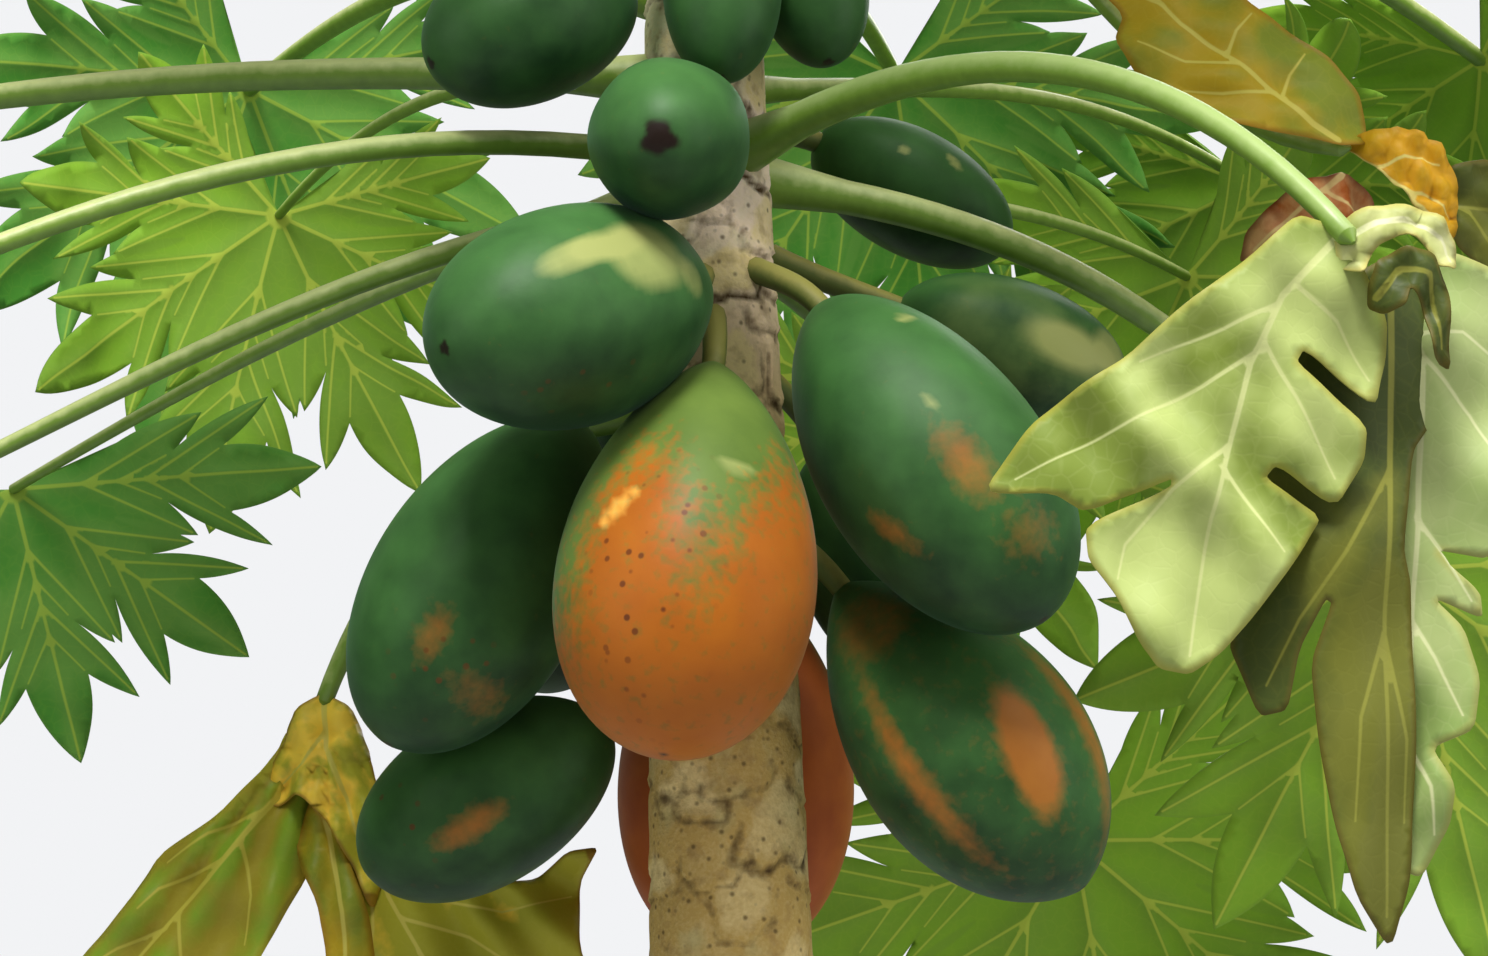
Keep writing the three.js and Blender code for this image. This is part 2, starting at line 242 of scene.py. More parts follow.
def bent_stalk(name: str, knots: tuple, bevel: int, steps: int) -> Piece:
    """Builds a stalk as a bevelled curve that is made a mesh.

    Args:
        name: Name of the piece.
        knots: Place, both handles and radius of each knot, at least two.
        bevel: Resolution round the stalk.
        steps: Segments from knot to knot.

    Returns:
        The stalk's object.
    """
    deselect()
    bpy.ops.curve.primitive_bezier_curve_add(location=(0, 0, 0))
    piece = bpy.context.object
    piece.name = name
    curve = piece.data
    curve.bevel_depth = 1.0
    curve.bevel_resolution = bevel
    curve.use_fill_caps = True
    curve.resolution_u = steps
    line = curve.splines[0].bezier_points
    line.add(len(knots) - len(line))
    for knot, (place, left, right, radius) in zip(line, knots):
        knot.handle_left_type = knot.handle_right_type = "FREE"
        knot.co, knot.handle_left, knot.handle_right, knot.radius = place, left, right, radius
    choose(piece)
    bpy.ops.object.convert(target="MESH")
    piece.data.shade_smooth()
    paint_sky(piece)
    return piece


def join(name: str, pieces: list[Piece]) -> Piece:
    """Joins pieces into one mesh object.

    Args:
        name: Name of the joined piece.
        pieces: Mesh objects, at least one.

    Returns:
        The joined object.
    """
    deselect()
    for piece in pieces:
        piece.select_set(True)
    bpy.context.view_layer.objects.active = pieces[0]
    bpy.ops.object.join()
    pieces[0].name = name
    return pieces[0]


def hand_over(piece: Piece, slot: str, *nodes: str) -> None:
    """Fixes a finished piece to the tree in place of its frame nodes.

    Args:
        piece: Finished object.
        slot: Material slot of the record, not used.
        nodes: Frame nodes that the piece stands for.
    """
    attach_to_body(piece, BODY)
    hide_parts(*nodes)
    LOG.info("%s: %d faces", piece.name, len(piece.data.polygons))


@dataclass(frozen=True)
class Stem:
    """The trunk's line and girth, from which everything on the tree is placed."""

    height: float = 2.430
    foot_radius: float = 0.072
    tip_radius: float = 0.030
    taper_power: float = 1.4
    flare_width: float = 0.030
    flare_height: float = 0.090
    lean: float = 0.062
    lean_power: float = 1.3
    bow: float = 0.018

    def axis(self, height: float) -> Vector:
        """Returns the middle of the trunk at a height."""
        share = height / self.height
        return Vector((-self.lean * share**self.lean_power, self.bow * math.sin(math.pi * share), height))

    def radius(self, height: float) -> float:
        """Returns the trunk's radius at a height."""
        taper = (self.foot_radius - self.tip_radius) * (height / self.height) ** self.taper_power
        return self.foot_radius - taper + self.flare_width * math.exp(-height / self.flare_height)


STEM = Stem()


@dataclass(frozen=True)
class Bark:
    """Papaya bark: dry and tan, with pale worn scar faces, dark cracks with painted shadow under the scars,
    and a greener young end.
    """

    plain: str = "#c4a45c"
    pale: str = "#ecd698"
    blush: str = "#ffe8d0"
    moss: str = "#c2c896"
    stain: str = "#977748"
    # Colour of the dark cracks and pits, and of the painted shadow in the grooves under the scars.
    crack_and_painted_shadow: str = "#4e3a1e"
    grain: float = 2.5 * MM
    mottle: float = 9 * MM
    pit: float = 8 * MM
    blotch: float = 35 * MM
    blush_from: float = 1.95
    moss_from: float = 2.12
    green_until: float = 2.42
    stain_strength: float = 0.42
    pit_strength: float = 0.7

    def material(self) -> Material:
        """Makes the bark's material, which reads the attributes scar, and crack with its painted shadow.

        Returns:
            The material.
        """
        # Corky bark that dries as it grows: it is dull, so the eye sees its stains, pits and relief.
        # Its grain is finer than 1 mm, and is drawn at 2.5 mm so that it shows.
        material, tree, place, (scar, crack_and_painted_shadow) = new_material("papaya_bark", "scar", "crack_and_painted_shadow")
        rise = add_node(tree, "SeparateXYZ", {}, {"Vector": place}, "Z")
        blotch, grain, mottle = (
            add_node(tree, "TexNoise", {"Scale": 1 / size, "Detail": detail}, {"Vector": place})
            for size, detail in ((self.blotch, 5.0), (self.grain, 4.0), (self.mottle, 3.0))
        )
        pits = add_node(tree, "TexVoronoi", {"Scale": 1 / self.pit}, {"Vector": place})
        blush_share, moss_share, stain_share, pit_share = (
            add_node(
                tree,
                "MapRange",
                {"From Min": low, "From Max": high, "To Min": first, "To Max": last},
                {"Value": value},
            )
            for value, low, high, first, last in (
                (rise, self.blush_from, self.moss_from, 0.0, 1.0),
                (rise, self.moss_from, self.green_until, 0.0, 1.0),
                (mottle, 0.50, 0.70, 0.0, self.stain_strength),
                (pits, 0.08, 0.24, self.pit_strength, 0.0),
            )
        )
        moss_edge = ragged_share(tree, moss_share, blotch, amount=1.2, low=0.62, high=1.1)
        worn_share = ragged_share(tree, grain, scar, amount=1.1, low=0.45, high=1.55)
        # Painted shadow: the groove under each scar's rim is darkened with the crack colour, over its real
        # dark crack.
        crack_and_shadow_share = ragged_share(tree, crack_and_painted_shadow, mottle, amount=1.1, low=0.80, high=1.45)
        dark = add_node(tree, "Math", {"operation": "MAXIMUM"}, {0: pit_share, 1: crack_and_shadow_share})
        ends = {UNDER: linear(self.plain), OVER: linear(self.blush)}
        colour = add_node(tree, "Mix", COLOURS | ends, {SHARE: blush_share}, MIXED)
        greening = (self.moss, moss_edge), (self.pale, worn_share)
        darkening = (self.stain, stain_share), (self.crack_and_painted_shadow, dark)
        for over, share in greening + darkening:
            over_colour = COLOURS | {OVER: linear(over)}
            colour = add_node(tree, "Mix", over_colour, {SHARE: share, UNDER: colour}, MIXED)
        relief = {"Strength": 0.55, "Distance": 1.5 * MM}
        end_material(tree, colour, grain, relief, {"Roughness": 0.85, "Specular IOR Level": 0.25})
        return material


@dataclass(frozen=True)
class StalkSkin:
    """Leaf stalk skin: smooth and waxy, with a painted highlight along its top and painted shade
    underneath.
    """

    name: str = "waxy_leaf_stalk"
    under: str = "#4c6e24"
    plain: str = "#7ea03c"
    pale: str = "#dae498"
    streak: float = 9 * MM
    roughness: float = 0.38

    def material(self) -> Material:
        """Makes the stalk's material, which reads the attribute sky.

        Returns:
            The material.
        """
        # A living stalk under a thin wax: it has a soft sheen, and a painted highlight on its top and
        # painted shade under it make it look round.
        material, tree, place, (sky,) = new_material(self.name, "sky")
        streak = add_node(tree, "TexNoise", {"Scale": 1 / self.streak, "Detail": 3.0}, {"Vector": place})
        # Painted shade and highlight: faces that look down take the darker green, faces that look up the
        # pale one.
        lower = ragged_share(tree, sky, streak, amount=0.7, low=-0.9, high=0.1)
        upper = ragged_share(tree, sky, streak, amount=0.7, low=0.15, high=0.85)
        ends = {UNDER: linear(self.under), OVER: linear(self.plain)}
        painted_shade_flank = add_node(tree, "Mix", COLOURS | ends, {SHARE: lower}, MIXED)
        top = COLOURS | {OVER: linear(self.pale)}
        colour = add_node(tree, "Mix", top, {SHARE: upper, UNDER: painted_shade_flank}, MIXED)
        shine = {"Roughness": self.roughness, "IOR": 1.45, "Specular IOR Level": 0.55}
        end_material(tree, colour, streak, {"Strength": 0.2, "Distance": 0.6 * MM}, shine)
        return material


@dataclass(frozen=True)
class LeafSkin:
    """Leaf skin: satin, faintly quilted between yellow-green veins, with a duller underside."""

    name: str
    plain: str
    light: str
    vein: str
    edge: str
    patch: float = 45 * MM
    net: float = 9 * MM
    edge_width: float = 2.0
    net_strength: float = 0.06
    edge_strength: float = 0.7
    vein_strength: float = 0.9
    roughness: float = 0.5

    def material(self) -> Material:
        """Makes the leaf's material, which reads fade, and vein and margin in millimetres.

        Returns:
            The material.
        """
        # A leaf's cuticle is a thin satin wax: its broad soft shine shows the quilting and the folds.
        # The finest net of veins, about 1 mm wide, is drawn at 9 mm so that it shows.
        material, tree, place, (vein, margin, fade) = new_material(self.name, "vein", "margin", "fade")
        patch = add_node(tree, "TexNoise", {"Scale": 1 / self.patch, "Detail": 4.0}, {"Vector": place})
        cell = {"feature": "DISTANCE_TO_EDGE", "Scale": 1 / self.net}
        net = add_node(tree, "TexVoronoi", cell, {"Vector": place})
        net_share, rim_share, vein_share = (
            add_node(
                tree,
                "MapRange",
                {"From Min": low, "From Max": high, "To Min": most, "To Max": 0.0},
                {"Value": value},
            )
            for value, low, high, most in (
                (net, 0.0, 0.10, self.net_strength),
                (margin, 0.0, self.edge_width, self.edge_strength),
                (vein, -0.2, 0.6, self.vein_strength),
            )
        )
        # On the green leaves the lighter patches are painted sunlit and backlit places; on the dying leaves
        # they are the leaf's own uneven colour.
        patch_share = ragged_share(tree, patch, fade, amount=0.25, low=0.40, high=0.66)
        ends = {UNDER: linear(self.plain), OVER: linear(self.light)}
        colour = add_node(tree, "Mix", COLOURS | ends, {SHARE: patch_share}, MIXED)
        for over, share in (self.vein, net_share), (self.edge, rim_share), (self.vein, vein_share):
            over_colour = COLOURS | {OVER: linear(over)}
            colour = add_node(tree, "Mix", over_colour, {SHARE: share, UNDER: colour}, MIXED)
        height = add_node(tree, "Math", {"operation": "MULTIPLY_ADD", 1: -1.5}, {0: net_share, 2: patch})
        shine = {"Roughness": self.roughness, "IOR": 1.45, "Specular IOR Level": 0.25}
        end_material(tree, colour, height, {"Strength": 0.35, "Distance": 1.2 * MM}, shine)
        return material

    def underside(self) -> Material:
        """Returns the material of the leaf's underside, which is paler and duller."""
        name = f"{self.name}_underside"
        return replace(self, name=name, plain=self.light, light=self.edge, roughness=0.7).material()


class Tone(Enum):
    """Leaf colours of the tree, by the light and the age of the leaf."""

    GREEN = LeafSkin("papaya_leaf_green", "#357a2f", "#509434", "#a2c048", "#6ca044", patch=80 * MM)
    # Painted light: a brighter copy of the green leaf for leaves that stand in sun or glow against it.
    PAINTED_SUNLIT_GREEN = LeafSkin("papaya_leaf_green_painted_sunlit", "#4a922b", "#86b430", "#bacc4c", "#80a838",
                      patch=120 * MM)
    YOUNG = LeafSkin("papaya_leaf_young", "#4f9030", "#79ac3c", "#b4c468", "#86a440")
    WILTING = LeafSkin("papaya_leaf_wilting", "#80923a", "#b6c474", "#d0d690", "#a8a040",
                       patch=80 * MM, edge_width=4.0)
    SAGE = LeafSkin("papaya_leaf_pale_sage", "#8ea65a", "#abba76", "#d4d8a0", "#aca858",
                    patch=70 * MM, edge_width=4.0)
    CREAM = LeafSkin("papaya_leaf_cream_fold", "#b4ba70", "#d6d898", "#e0dfb0", "#c0b25a", edge_width=3.0)
    # Partly painted shade: its dark olive brown stands for lobes that hang in shadow, and is also a dead
    # leaf's own brown.
    SHADED = LeafSkin("papaya_leaf_olive_brown_painted_shade", "#465220", "#6e7029", "#8c8c3a", "#6a5c22",
                      patch=70 * MM, edge_width=3.0)
    OLIVE = LeafSkin("papaya_leaf_olive_gold", "#86902c", "#b89c20", "#d0c45c", "#b88428", edge_width=4.0)
    GOLDEN = LeafSkin("papaya_leaf_golden", "#bf9818", "#dca41e", "#e4d67c", "#b88820", edge_width=4.0)
    RUSTY = LeafSkin("papaya_leaf_rusty", "#b05c22", "#d2a06a", "#e0c684", "#6a2c14",
                     patch=18 * MM, edge_width=4.0)
    WITHERED = LeafSkin("papaya_leaf_withered", "#8eac30", "#a89a30", "#ccc250", "#bca834", edge_width=6.0)
    YELLOWED = LeafSkin("papaya_leaf_yellowed", "#b4b034", "#ffd84c", "#d8cc60", "#8a5820", patch=25 * MM)


@dataclass(frozen=True)
class SideLobe:
    """One side lobe of a leaf's main lobe.

    Lengths are shares of the main lobe's length, and widths are shares of the room beside it.
    """

    vein: float
    tip_along: float
    tip_across: float
    notch_along: float
    notch_across: float


SIDE_LOBES = (
    SideLobe(0.22, 0.60, 0.97, 0.50, 0.50),
    SideLobe(0.42, 0.82, 0.86, 0.69, 0.40),
)


@dataclass(frozen=True)
class Leaf:
    """Where one leaf grows and how its blade hangs, as in the frame, with its look."""

    name: str
    azimuth: float
    base: float
    reach: float
    drop: float
    rise: float
    fall: float
    radius: float
    point: tuple[float, float]
    face: tuple[float, float]
    turn: float = 0.0
    lobes: int = 7
    spread: float = 284.0
    bend: float = 32.0
    rear: float = 0.66
    stalk: float = 1.0
    tone: Tone = Tone.GREEN
    slot: str = "leaf_green"

    def hub(self) -> Vector:
        """Finds where the stalk meets the blade.

        Returns:
            The place of the hub.
        """
        hub = STEM.axis(self.base) + heading(self.azimuth + self.turn) * self.reach
        hub.z -= self.drop
        return hub

    def basis(self) -> Matrix:
        """Finds the turn that takes the flat blade, middle lobe along +X, to its place.

        Returns:
            The turn.
        """
        forward = heading(self.point[0], -self.point[1])
        upper = heading(*self.face)
        upper = (upper - forward * upper.dot(forward)).normalized()
        side = upper.cross(forward)
        return Matrix((forward, side, upper)).transposed()


# Height of one row of a grid of equal-sided triangles, as a share of their side.
ROW_HEIGHT = 0.866
# A wave starts anywhere in one full turn.
FULL_TURN = 6.28
# Added to the distance from a rib that points away, so that another rib is nearer, in metres.
BEHIND_RIB = 10.0


@dataclass
class Blade:
    """A lobed leaf blade: outline and veins in its plane, then bent, folded and fluttered.

    Reaches are shares of the way that a vein could go, girths are shares of a rib's half width at
    its foot and at its tip, wanders are the spread of random shares along and across a lobe, and
    bulges are shares of an edge's chord. The clear distances and the grid's wander are shares of
    the guard or of the spacing.
    """

    leaf: Leaf
    seed: int
    spacing: float = 6 * MM
    edge_step: float = 5 * MM
    sinus: float = 0.36
    shortening: float = 1.6
    rib_half: float = 1.15 * MM
    tip_half: float = 0.5 * MM
    rib_reach: float = 0.985
    side_reach: float = 0.95
    side_girth: tuple[float, float] = (0.6, 0.8)
    between_foot: float = 0.11
    between_reach: float = 0.9
    between_girth: tuple[float, float] = (0.45, 0.6)
    tip_wander: tuple[float, float] = (0.014, 0.06)
    notch_wander: tuple[float, float] = (0.012, 0.12)
    tip_bulge: float = 0.12
    notch_bulge: float = 0.08
    end_bulge: float = 0.17
    guard: float = 2.4 * MM
    guard_clear: float = 0.9
    border_clear: float = 0.4
    grid_clear: float = 0.62
    grid_wander: float = 0.12
    fold: float = 0.16
    fold_from: float = 0.25
    pillow: float = 2.2 * MM
    pillow_width: float = 7 * MM
    sag: float = 1.1
    flutter: float = 5 * MM
    flutter_from: tuple[float, float] = (0.2, 0.9)
    wave_count: int = 6
    wave_lengths: tuple[float, float] = (0.16, 0.4)
    thickness: float = 0.8 * MM
    pale_band: float = 6 * MM
    pale_strength: float = 1.1
    pale_limit: float = 0.3

    def __post_init__(self) -> None:
        """Starts the blade's own row of random numbers."""
        self.random = np.random.default_rng(self.seed)
        self.outline: list[np.ndarray] = []
        self.veins: list[tuple[np.ndarray, float, float]] = []
        self.ribs: list[tuple[np.ndarray, np.ndarray]] = []

    def curve(self, start: np.ndarray, end: np.ndarray, away: np.ndarray, bulge: float) -> list[np.ndarray]:
        """Draws one edge of a lobe as a shallow arc, without its last point.

        Args:
            start: First point.
            end: Last point.
            away: Point that the arc bulges away from.
            bulge: Height of the arc's control point as a share of its chord.

        Returns:
            Points from start to just before end.
        """
        chord = end - start
        length = float(np.hypot(*chord))
        normal = np.array([-chord[1], chord[0]]) / max(length, 1e-9)
        middle = (start + end) / 2
        if np.dot(middle - away, normal) < 0:
            normal = -normal
        control = middle + normal * bulge * length
        count = max(2, math.ceil(length / self.edge_step))
        shares = np.arange(count) / count
        return [(1 - t) ** 2 * start + 2 * t * (1 - t) * control + t * t * end for t in shares]

    def add_vein(self, start: np.ndarray, end: np.ndarray, foot: float, tip: float) -> None:
        """Adds a straight vein.

        Args:
            start: Where it begins.
            end: Where it ends.
            foot: Half its width where it begins.
            tip: Half its width where it ends.
        """
        count = max(2, math.ceil(float(np.hypot(*(end - start))) / self.spacing) + 1)
        shares = np.linspace(0, 1, count)[:, None]
        self.veins.append((start + (end - start) * shares, foot, tip))

    def draw(self) -> None:
        """Draws the outline and the veins of every lobe in the blade's plane."""
        leaf = self.leaf
        step = leaf.spread / leaf.lobes
        middle = (leaf.lobes - 1) / 2
        off_middle = [abs(i - middle) / middle for i in range(leaf.lobes)]
        lengths = [leaf.radius * (1 - (1 - leaf.rear) * off**self.shortening) for off in off_middle]
        self.outline.append(np.zeros(2))
        for index, length in enumerate(lengths):
            azimuth = (index - middle) * step
            tip = length * flat_heading(azimuth)
            self.ribs.append((flat_heading(azimuth), flat_heading(azimuth + 90)))
            self.add_vein(np.zeros(2), tip * self.rib_reach, self.rib_half, self.tip_half)
            edges = {}
            for side in (-1, 1):
                near = lengths[min(max(index + side, 0), leaf.lobes - 1)]
                start = self.sinus * min(length, near) * flat_heading(azimuth + side * step / 2)
                edges[side] = self.lobe_edge(azimuth, length, side * step / 2, start)
            self.outline += edges[-1] + [tip] + edges[1][:0:-1]

    def lobe_edge(self, azimuth: float, length: float, half: float, start: np.ndarray) -> list[np.ndarray]:
        """Draws one edge of a main lobe with its side lobes, and their veins.

        Args:
            azimuth: Angle of the main lobe in the blade's plane.
            length: Length of the main lobe.
            half: Angle of the room beside it, negative on its other side.
            start: Where the edge begins, between two main lobes.

        Returns:
            Points from start to just before the main lobe's tip.
        """
        along = flat_heading(azimuth) * length
        across = flat_heading(azimuth + 90) * length * math.tan(math.radians(half))
        tip_along, tip_across = self.tip_wander
        notch_along, notch_across = self.notch_wander
        edge = []
        here = start
        for lobe in SIDE_LOBES:
            wander = self.random.normal(0, 1, 4)
            far = lobe.tip_along + tip_along * wander[0]
            point = along * far + across * far * lobe.tip_across * (1 - tip_across * abs(wander[1]))
            deep = lobe.notch_along + notch_along * wander[2]
            notch = along * deep + across * deep * lobe.notch_across * (1 + notch_across * wander[3])
            foot = along * lobe.vein
            edge += self.curve(here, point, foot, self.tip_bulge)
            edge += self.curve(point, notch, foot, self.notch_bulge)
            between = along * (lobe.vein + self.between_foot)
            for low, high, reach, girth in (
                (foot, point, self.side_reach, self.side_girth),
                (between, notch, self.between_reach, self.between_girth),
            ):
                end = low + (high - low) * reach
                self.add_vein(low, end, self.rib_half * girth[0], self.tip_half * girth[1])
            here = notch
        return edge + self.curve(here, along, along * 0.5, self.end_bulge)

    def fill(self) -> tuple[np.ndarray, list]:
        """Fills the outline with triangles that follow the veins.

        Returns:
            Points in the blade's plane, and triangles.
        """
        border = np.array(self.outline)
        points = list(self.outline)
        edges = []
        beside = []
        for line, _, _ in self.veins:
            first = len(points)
            points += list(line)
            edges += [(first + i, first + i + 1) for i in range(len(line) - 1)]
            chord = line[-1] - line[0]
            across = np.array([-chord[1], chord[0]]) / np.hypot(*chord) * self.guard
            beside += [line[1:] + across, line[1:] - across]
        guards = np.vstack(beside)
        guards = guards[inside(guards, border)]
        guards = guards[vein_gap(guards, self.veins)[0] > self.guard_clear * self.guard]
        to_border = line_gap(guards, border, np.roll(border, -1, axis=0))
        guards = guards[to_border > self.border_clear * self.guard]
        fixed = np.vstack([np.array(points), guards])
        low, high = fixed.min(axis=0), fixed.max(axis=0)
        rows = np.arange(low[1], high[1], self.spacing * ROW_HEIGHT)
        grid = np.array(
            [
                (x + (row % 2) * self.spacing / 2, y)
                for row, y in enumerate(rows)
                for x in np.arange(low[0], high[0], self.spacing)
            ]
        )
        wander = self.random.uniform(-self.grid_wander, self.grid_wander, grid.shape)
        grid += wander * self.spacing
        grid = grid[inside(grid, border)]
        gap = np.sqrt(((grid[:, None, :] - fixed[None, :, :]) ** 2).sum(2).min(1))
        grid = grid[gap > self.grid_clear * self.spacing]
        everything = [Vector(p) for p in np.vstack([fixed, grid])]
        face = [list(range(len(self.outline)))]
        places, _, triangles, *_ = delaunay_2d_cdt(everything, edges, face, 1, 1e-6)
        return np.array([tuple(p) for p in places]), [tuple(t) for t in triangles]

    def waves(self, flat: np.ndarray, size: float) -> np.ndarray:
        """Adds up random waves over the blade.

        Args:
            flat: Points in the blade's plane.
            size: Size of the blade, which sets the length of the waves.

        Returns:
            Height of the waves at each point, about -1 to 1.
        """
        total = np.zeros(len(flat))
        for _ in range(self.wave_count):
            direction = self.random.normal(0, 1, 2)
            direction /= np.hypot(*direction)
            length = size * self.random.uniform(*self.wave_lengths)
            start = self.random.uniform(0, FULL_TURN)
            total += np.sin(2 * math.pi * (flat @ direction) / length + start)
        return total / (self.wave_count / 2)

    def shape(self, flat: np.ndarray, gap: np.ndarray) -> np.ndarray:
        """Bends the flat blade and gives it folds, pillows and a fluttered edge.

        Args:
            flat: Points in the blade's plane.
            gap: Distance of each point from the nearest vein.

        Returns:
            Points in their places on the tree.
        """
        leaf = self.leaf
        distance = np.hypot(flat[:, 0], flat[:, 1])
        out = flat / np.maximum(distance, 1e-9)[:, None]
        turn = math.radians(leaf.bend) * distance / leaf.radius
        bow = leaf.radius / math.radians(leaf.bend)
        places = np.column_stack([out * (bow * np.sin(turn))[:, None], -bow * (1 - np.cos(turn))])
        normals = np.column_stack([out * np.sin(turn)[:, None], np.cos(turn)])
        beside = [np.abs(flat @ side) + BEHIND_RIB * (flat @ along < 0) for along, side in self.ribs]
        across = np.min(beside, axis=0)
        lift = self.fold * across * smooth(0.0, self.fold_from * leaf.radius, distance)
        lift += self.pillow * (1 - np.exp(-gap / self.pillow_width))
        lift -= self.sag * across**2 / leaf.radius
        outer = smooth(*self.flutter_from, distance / leaf.radius)
        lift += self.flutter * self.waves(flat, leaf.radius) * outer
        local = places + normals * lift[:, None]
        return local @ np.array(leaf.basis()).T + np.array(leaf.hub())

    def fade(self, flat: np.ndarray, gap: np.ndarray) -> np.ndarray:
        """Returns how pale each of the flat points is by its gap to a vein: darker below 0."""
        return self.pale_strength * np.exp(-gap / self.pale_band) - self.pale_limit

    def upper(self) -> Vector:
        """Returns the direction that the blade's upper side looks to."""
        return self.leaf.basis().col[2]

    def build(self, skins: tuple[Material, Material]) -> Piece:
        """Builds the finished blade in its place on the tree.

        Args:
            skins: Materials of the upper side and the underside.

        Returns:
            The blade's object.
        """
        self.draw()
        flat, faces = self.fill()
        gap, width = vein_gap(flat, self.veins)
        border = np.array(self.outline)
        margin = line_gap(flat, border, np.roll(border, -1, axis=0))
        piece = mesh_piece(f"leaf_{self.leaf.name}", self.shape(flat, gap), faces)
        face_upwards(piece, self.upper())
        paint(piece, "fade", self.fade(flat, gap))
        paint(piece, "vein", (gap - width) / MM)
        paint(piece, "margin", margin / MM)
        for skin in skins:
            piece.data.materials.append(skin)
        solid = piece.modifiers.new("thickness", "SOLIDIFY")
        solid.thickness = self.thickness
        solid.offset = 0
        solid.material_offset = 1
        apply_modifiers(piece)
        return piece


@dataclass(frozen=True)
class Sheet:
    """One hanging lobe of a limp leaf, as the viewer sees it.

    Outline and ribs are millimetres to the right of and above the leaf's hub, in turn. It hangs so
    far behind the hub, leans back by a share of its drop, and its sides turn back by the curl.
    Folds as deep as given, in millimetres too, spread from the hub. Each area is a paler place, or
    a darker one below 0: its middle, its radius and its strength.
    """

    tone: Tone
    outline: tuple[float, ...]
    ribs: tuple[tuple[float, ...], ...]
    behind: float = 0.0
    lean: float = 0.0
    curl: float = 0.2
    folds: float = 0.0
    areas: tuple[tuple[float, float, float, float], ...] = ()


@dataclass
class LimpBlade(Blade):
    """One lobe of a wilted leaf that hangs down like a cloth.

    Its first rib is the full one. A corner is cut at that share of its sides, and an area of the
    sheet has its full strength out to the core, a share of its radius.
    """

    spacing: float = 4.5 * MM
    rib_half: float = 1.8 * MM
    pillow_width: float = 9 * MM
    pale_strength: float = 0.6
    sheet: Sheet | None = None
    corner_cut: float = 0.13
    corner_cuts: int = 2
    side_rib: float = 0.55
    crease: float = 5 * MM
    folds_per_radian: float = 4.5
    folds_from: float = 60 * MM
    fold_sway: float = 9.0
    fold_paleness: float = 0.12
    area_core: float = 0.2

    def draw(self) -> None:
        """Rounds the corners of the sheet's outline and draws its ribs."""
        corners = np.array(self.sheet.outline).reshape(-1, 2) * MM
        cut, rest = self.corner_cut, 1 - self.corner_cut
        for _ in range(self.corner_cuts):
            after = np.roll(corners, -1, axis=0)
            pairs = np.stack([rest * corners + cut * after, cut * corners + rest * after], axis=1)
            corners = pairs.reshape(-1, 2)
        for start, end in zip(corners, np.roll(corners, -1, axis=0)):
            count = math.ceil(float(np.hypot(*(end - start))) / self.edge_step)
            self.outline += [start + (end - start) * i / count for i in range(count)]
        for order, rib in enumerate(self.sheet.ribs):
            points = np.array(rib).reshape(-1, 2) * MM
            half = np.linspace(self.rib_half, self.tip_half, len(points))
            half *= 1.0 if order == 0 else self.side_rib
            for number in range(len(points) - 1):
                self.add_vein(points[number], points[number + 1], half[number], half[number + 1])

    def folding(self, flat: np.ndarray) -> np.ndarray:
        """Finds the depth of the folds, which spread from the hub.

        Args:
            flat: Points in the sheet's plane.

        Returns:
            Depth at each point.
        """
        spoke = np.arctan2(flat[:, 0], -flat[:, 1])
        reach = np.hypot(flat[:, 0], flat[:, 1])
        turns = 2 * math.pi * self.folds_per_radian * spoke + np.sin(self.fold_sway * spoke)
        return self.sheet.folds * MM * np.sin(turns) * smooth(0.0, self.folds_from, reach)

    def fade(self, flat: np.ndarray, gap: np.ndarray) -> np.ndarray:
        """Finds how pale each point is, from the sheet's areas, folds and ribs.

        Args:
            flat: Points in the sheet's plane.
            gap: Distance of each point from the nearest rib.

        Returns:
            Above 0 where the sheet is paler, below 0 where it is darker.
        """
        total = self.pale_strength * np.exp(-gap / self.pale_band)
        total += self.fold_paleness * self.folding(flat) / MM
        for right, above, radius, strength in self.sheet.areas:
            away = np.hypot(flat[:, 0] - right * MM, flat[:, 1] - above * MM) / (radius * MM)
            total += strength * smooth(1.0, self.area_core, away)
        return total

    def shape(self, flat: np.ndarray, gap: np.ndarray) -> np.ndarray:
        """Hangs the sheet from the hub with its lean, curl and creases.

        Args:
            flat: Points in the sheet's plane.
            gap: Distance of each point from the nearest rib.

        Returns:
            Points in their places on the tree.
        """
        sheet = self.sheet
        low, high = flat.min(axis=0), flat.max(axis=0)
        width = high[0] - low[0]
        sideways = (flat[:, 0] - (low[0] + high[0]) / 2) / width
        depth = sheet.behind * MM - sheet.lean * flat[:, 1] + sheet.curl * width * 4 * sideways**2
        depth += self.crease * self.waves(flat, float(max(high - low))) + self.folding(flat)
        depth -= self.pillow * (1 - np.exp(-gap / self.pillow_width))
        hub = self.leaf.hub()
        return np.column_stack([hub.x + flat[:, 0], hub.y + depth, hub.z + flat[:, 1]])

    def upper(self) -> Vector:
        """Returns the side of the sheet that the viewer sees."""
        return Vector((0, -1, 0))


def flat_heading(azimuth: float) -> np.ndarray:
    """Returns the unit vector of a plane at an angle from its first axis."""
    return np.array([math.cos(math.radians(azimuth)), math.sin(math.radians(azimuth))])


def face_upwards(piece: Piece, upper: Vector) -> None:
    """Turns a sheet's faces so that on average they look to its upper side.

    Args:
        piece: Mesh object of one open sheet.
        upper: Direction of the upper side.
    """
    total = sum((face.normal * face.area for face in piece.data.polygons), Vector())
    if total.dot(upper) < 0:
        piece.data.flip_normals()


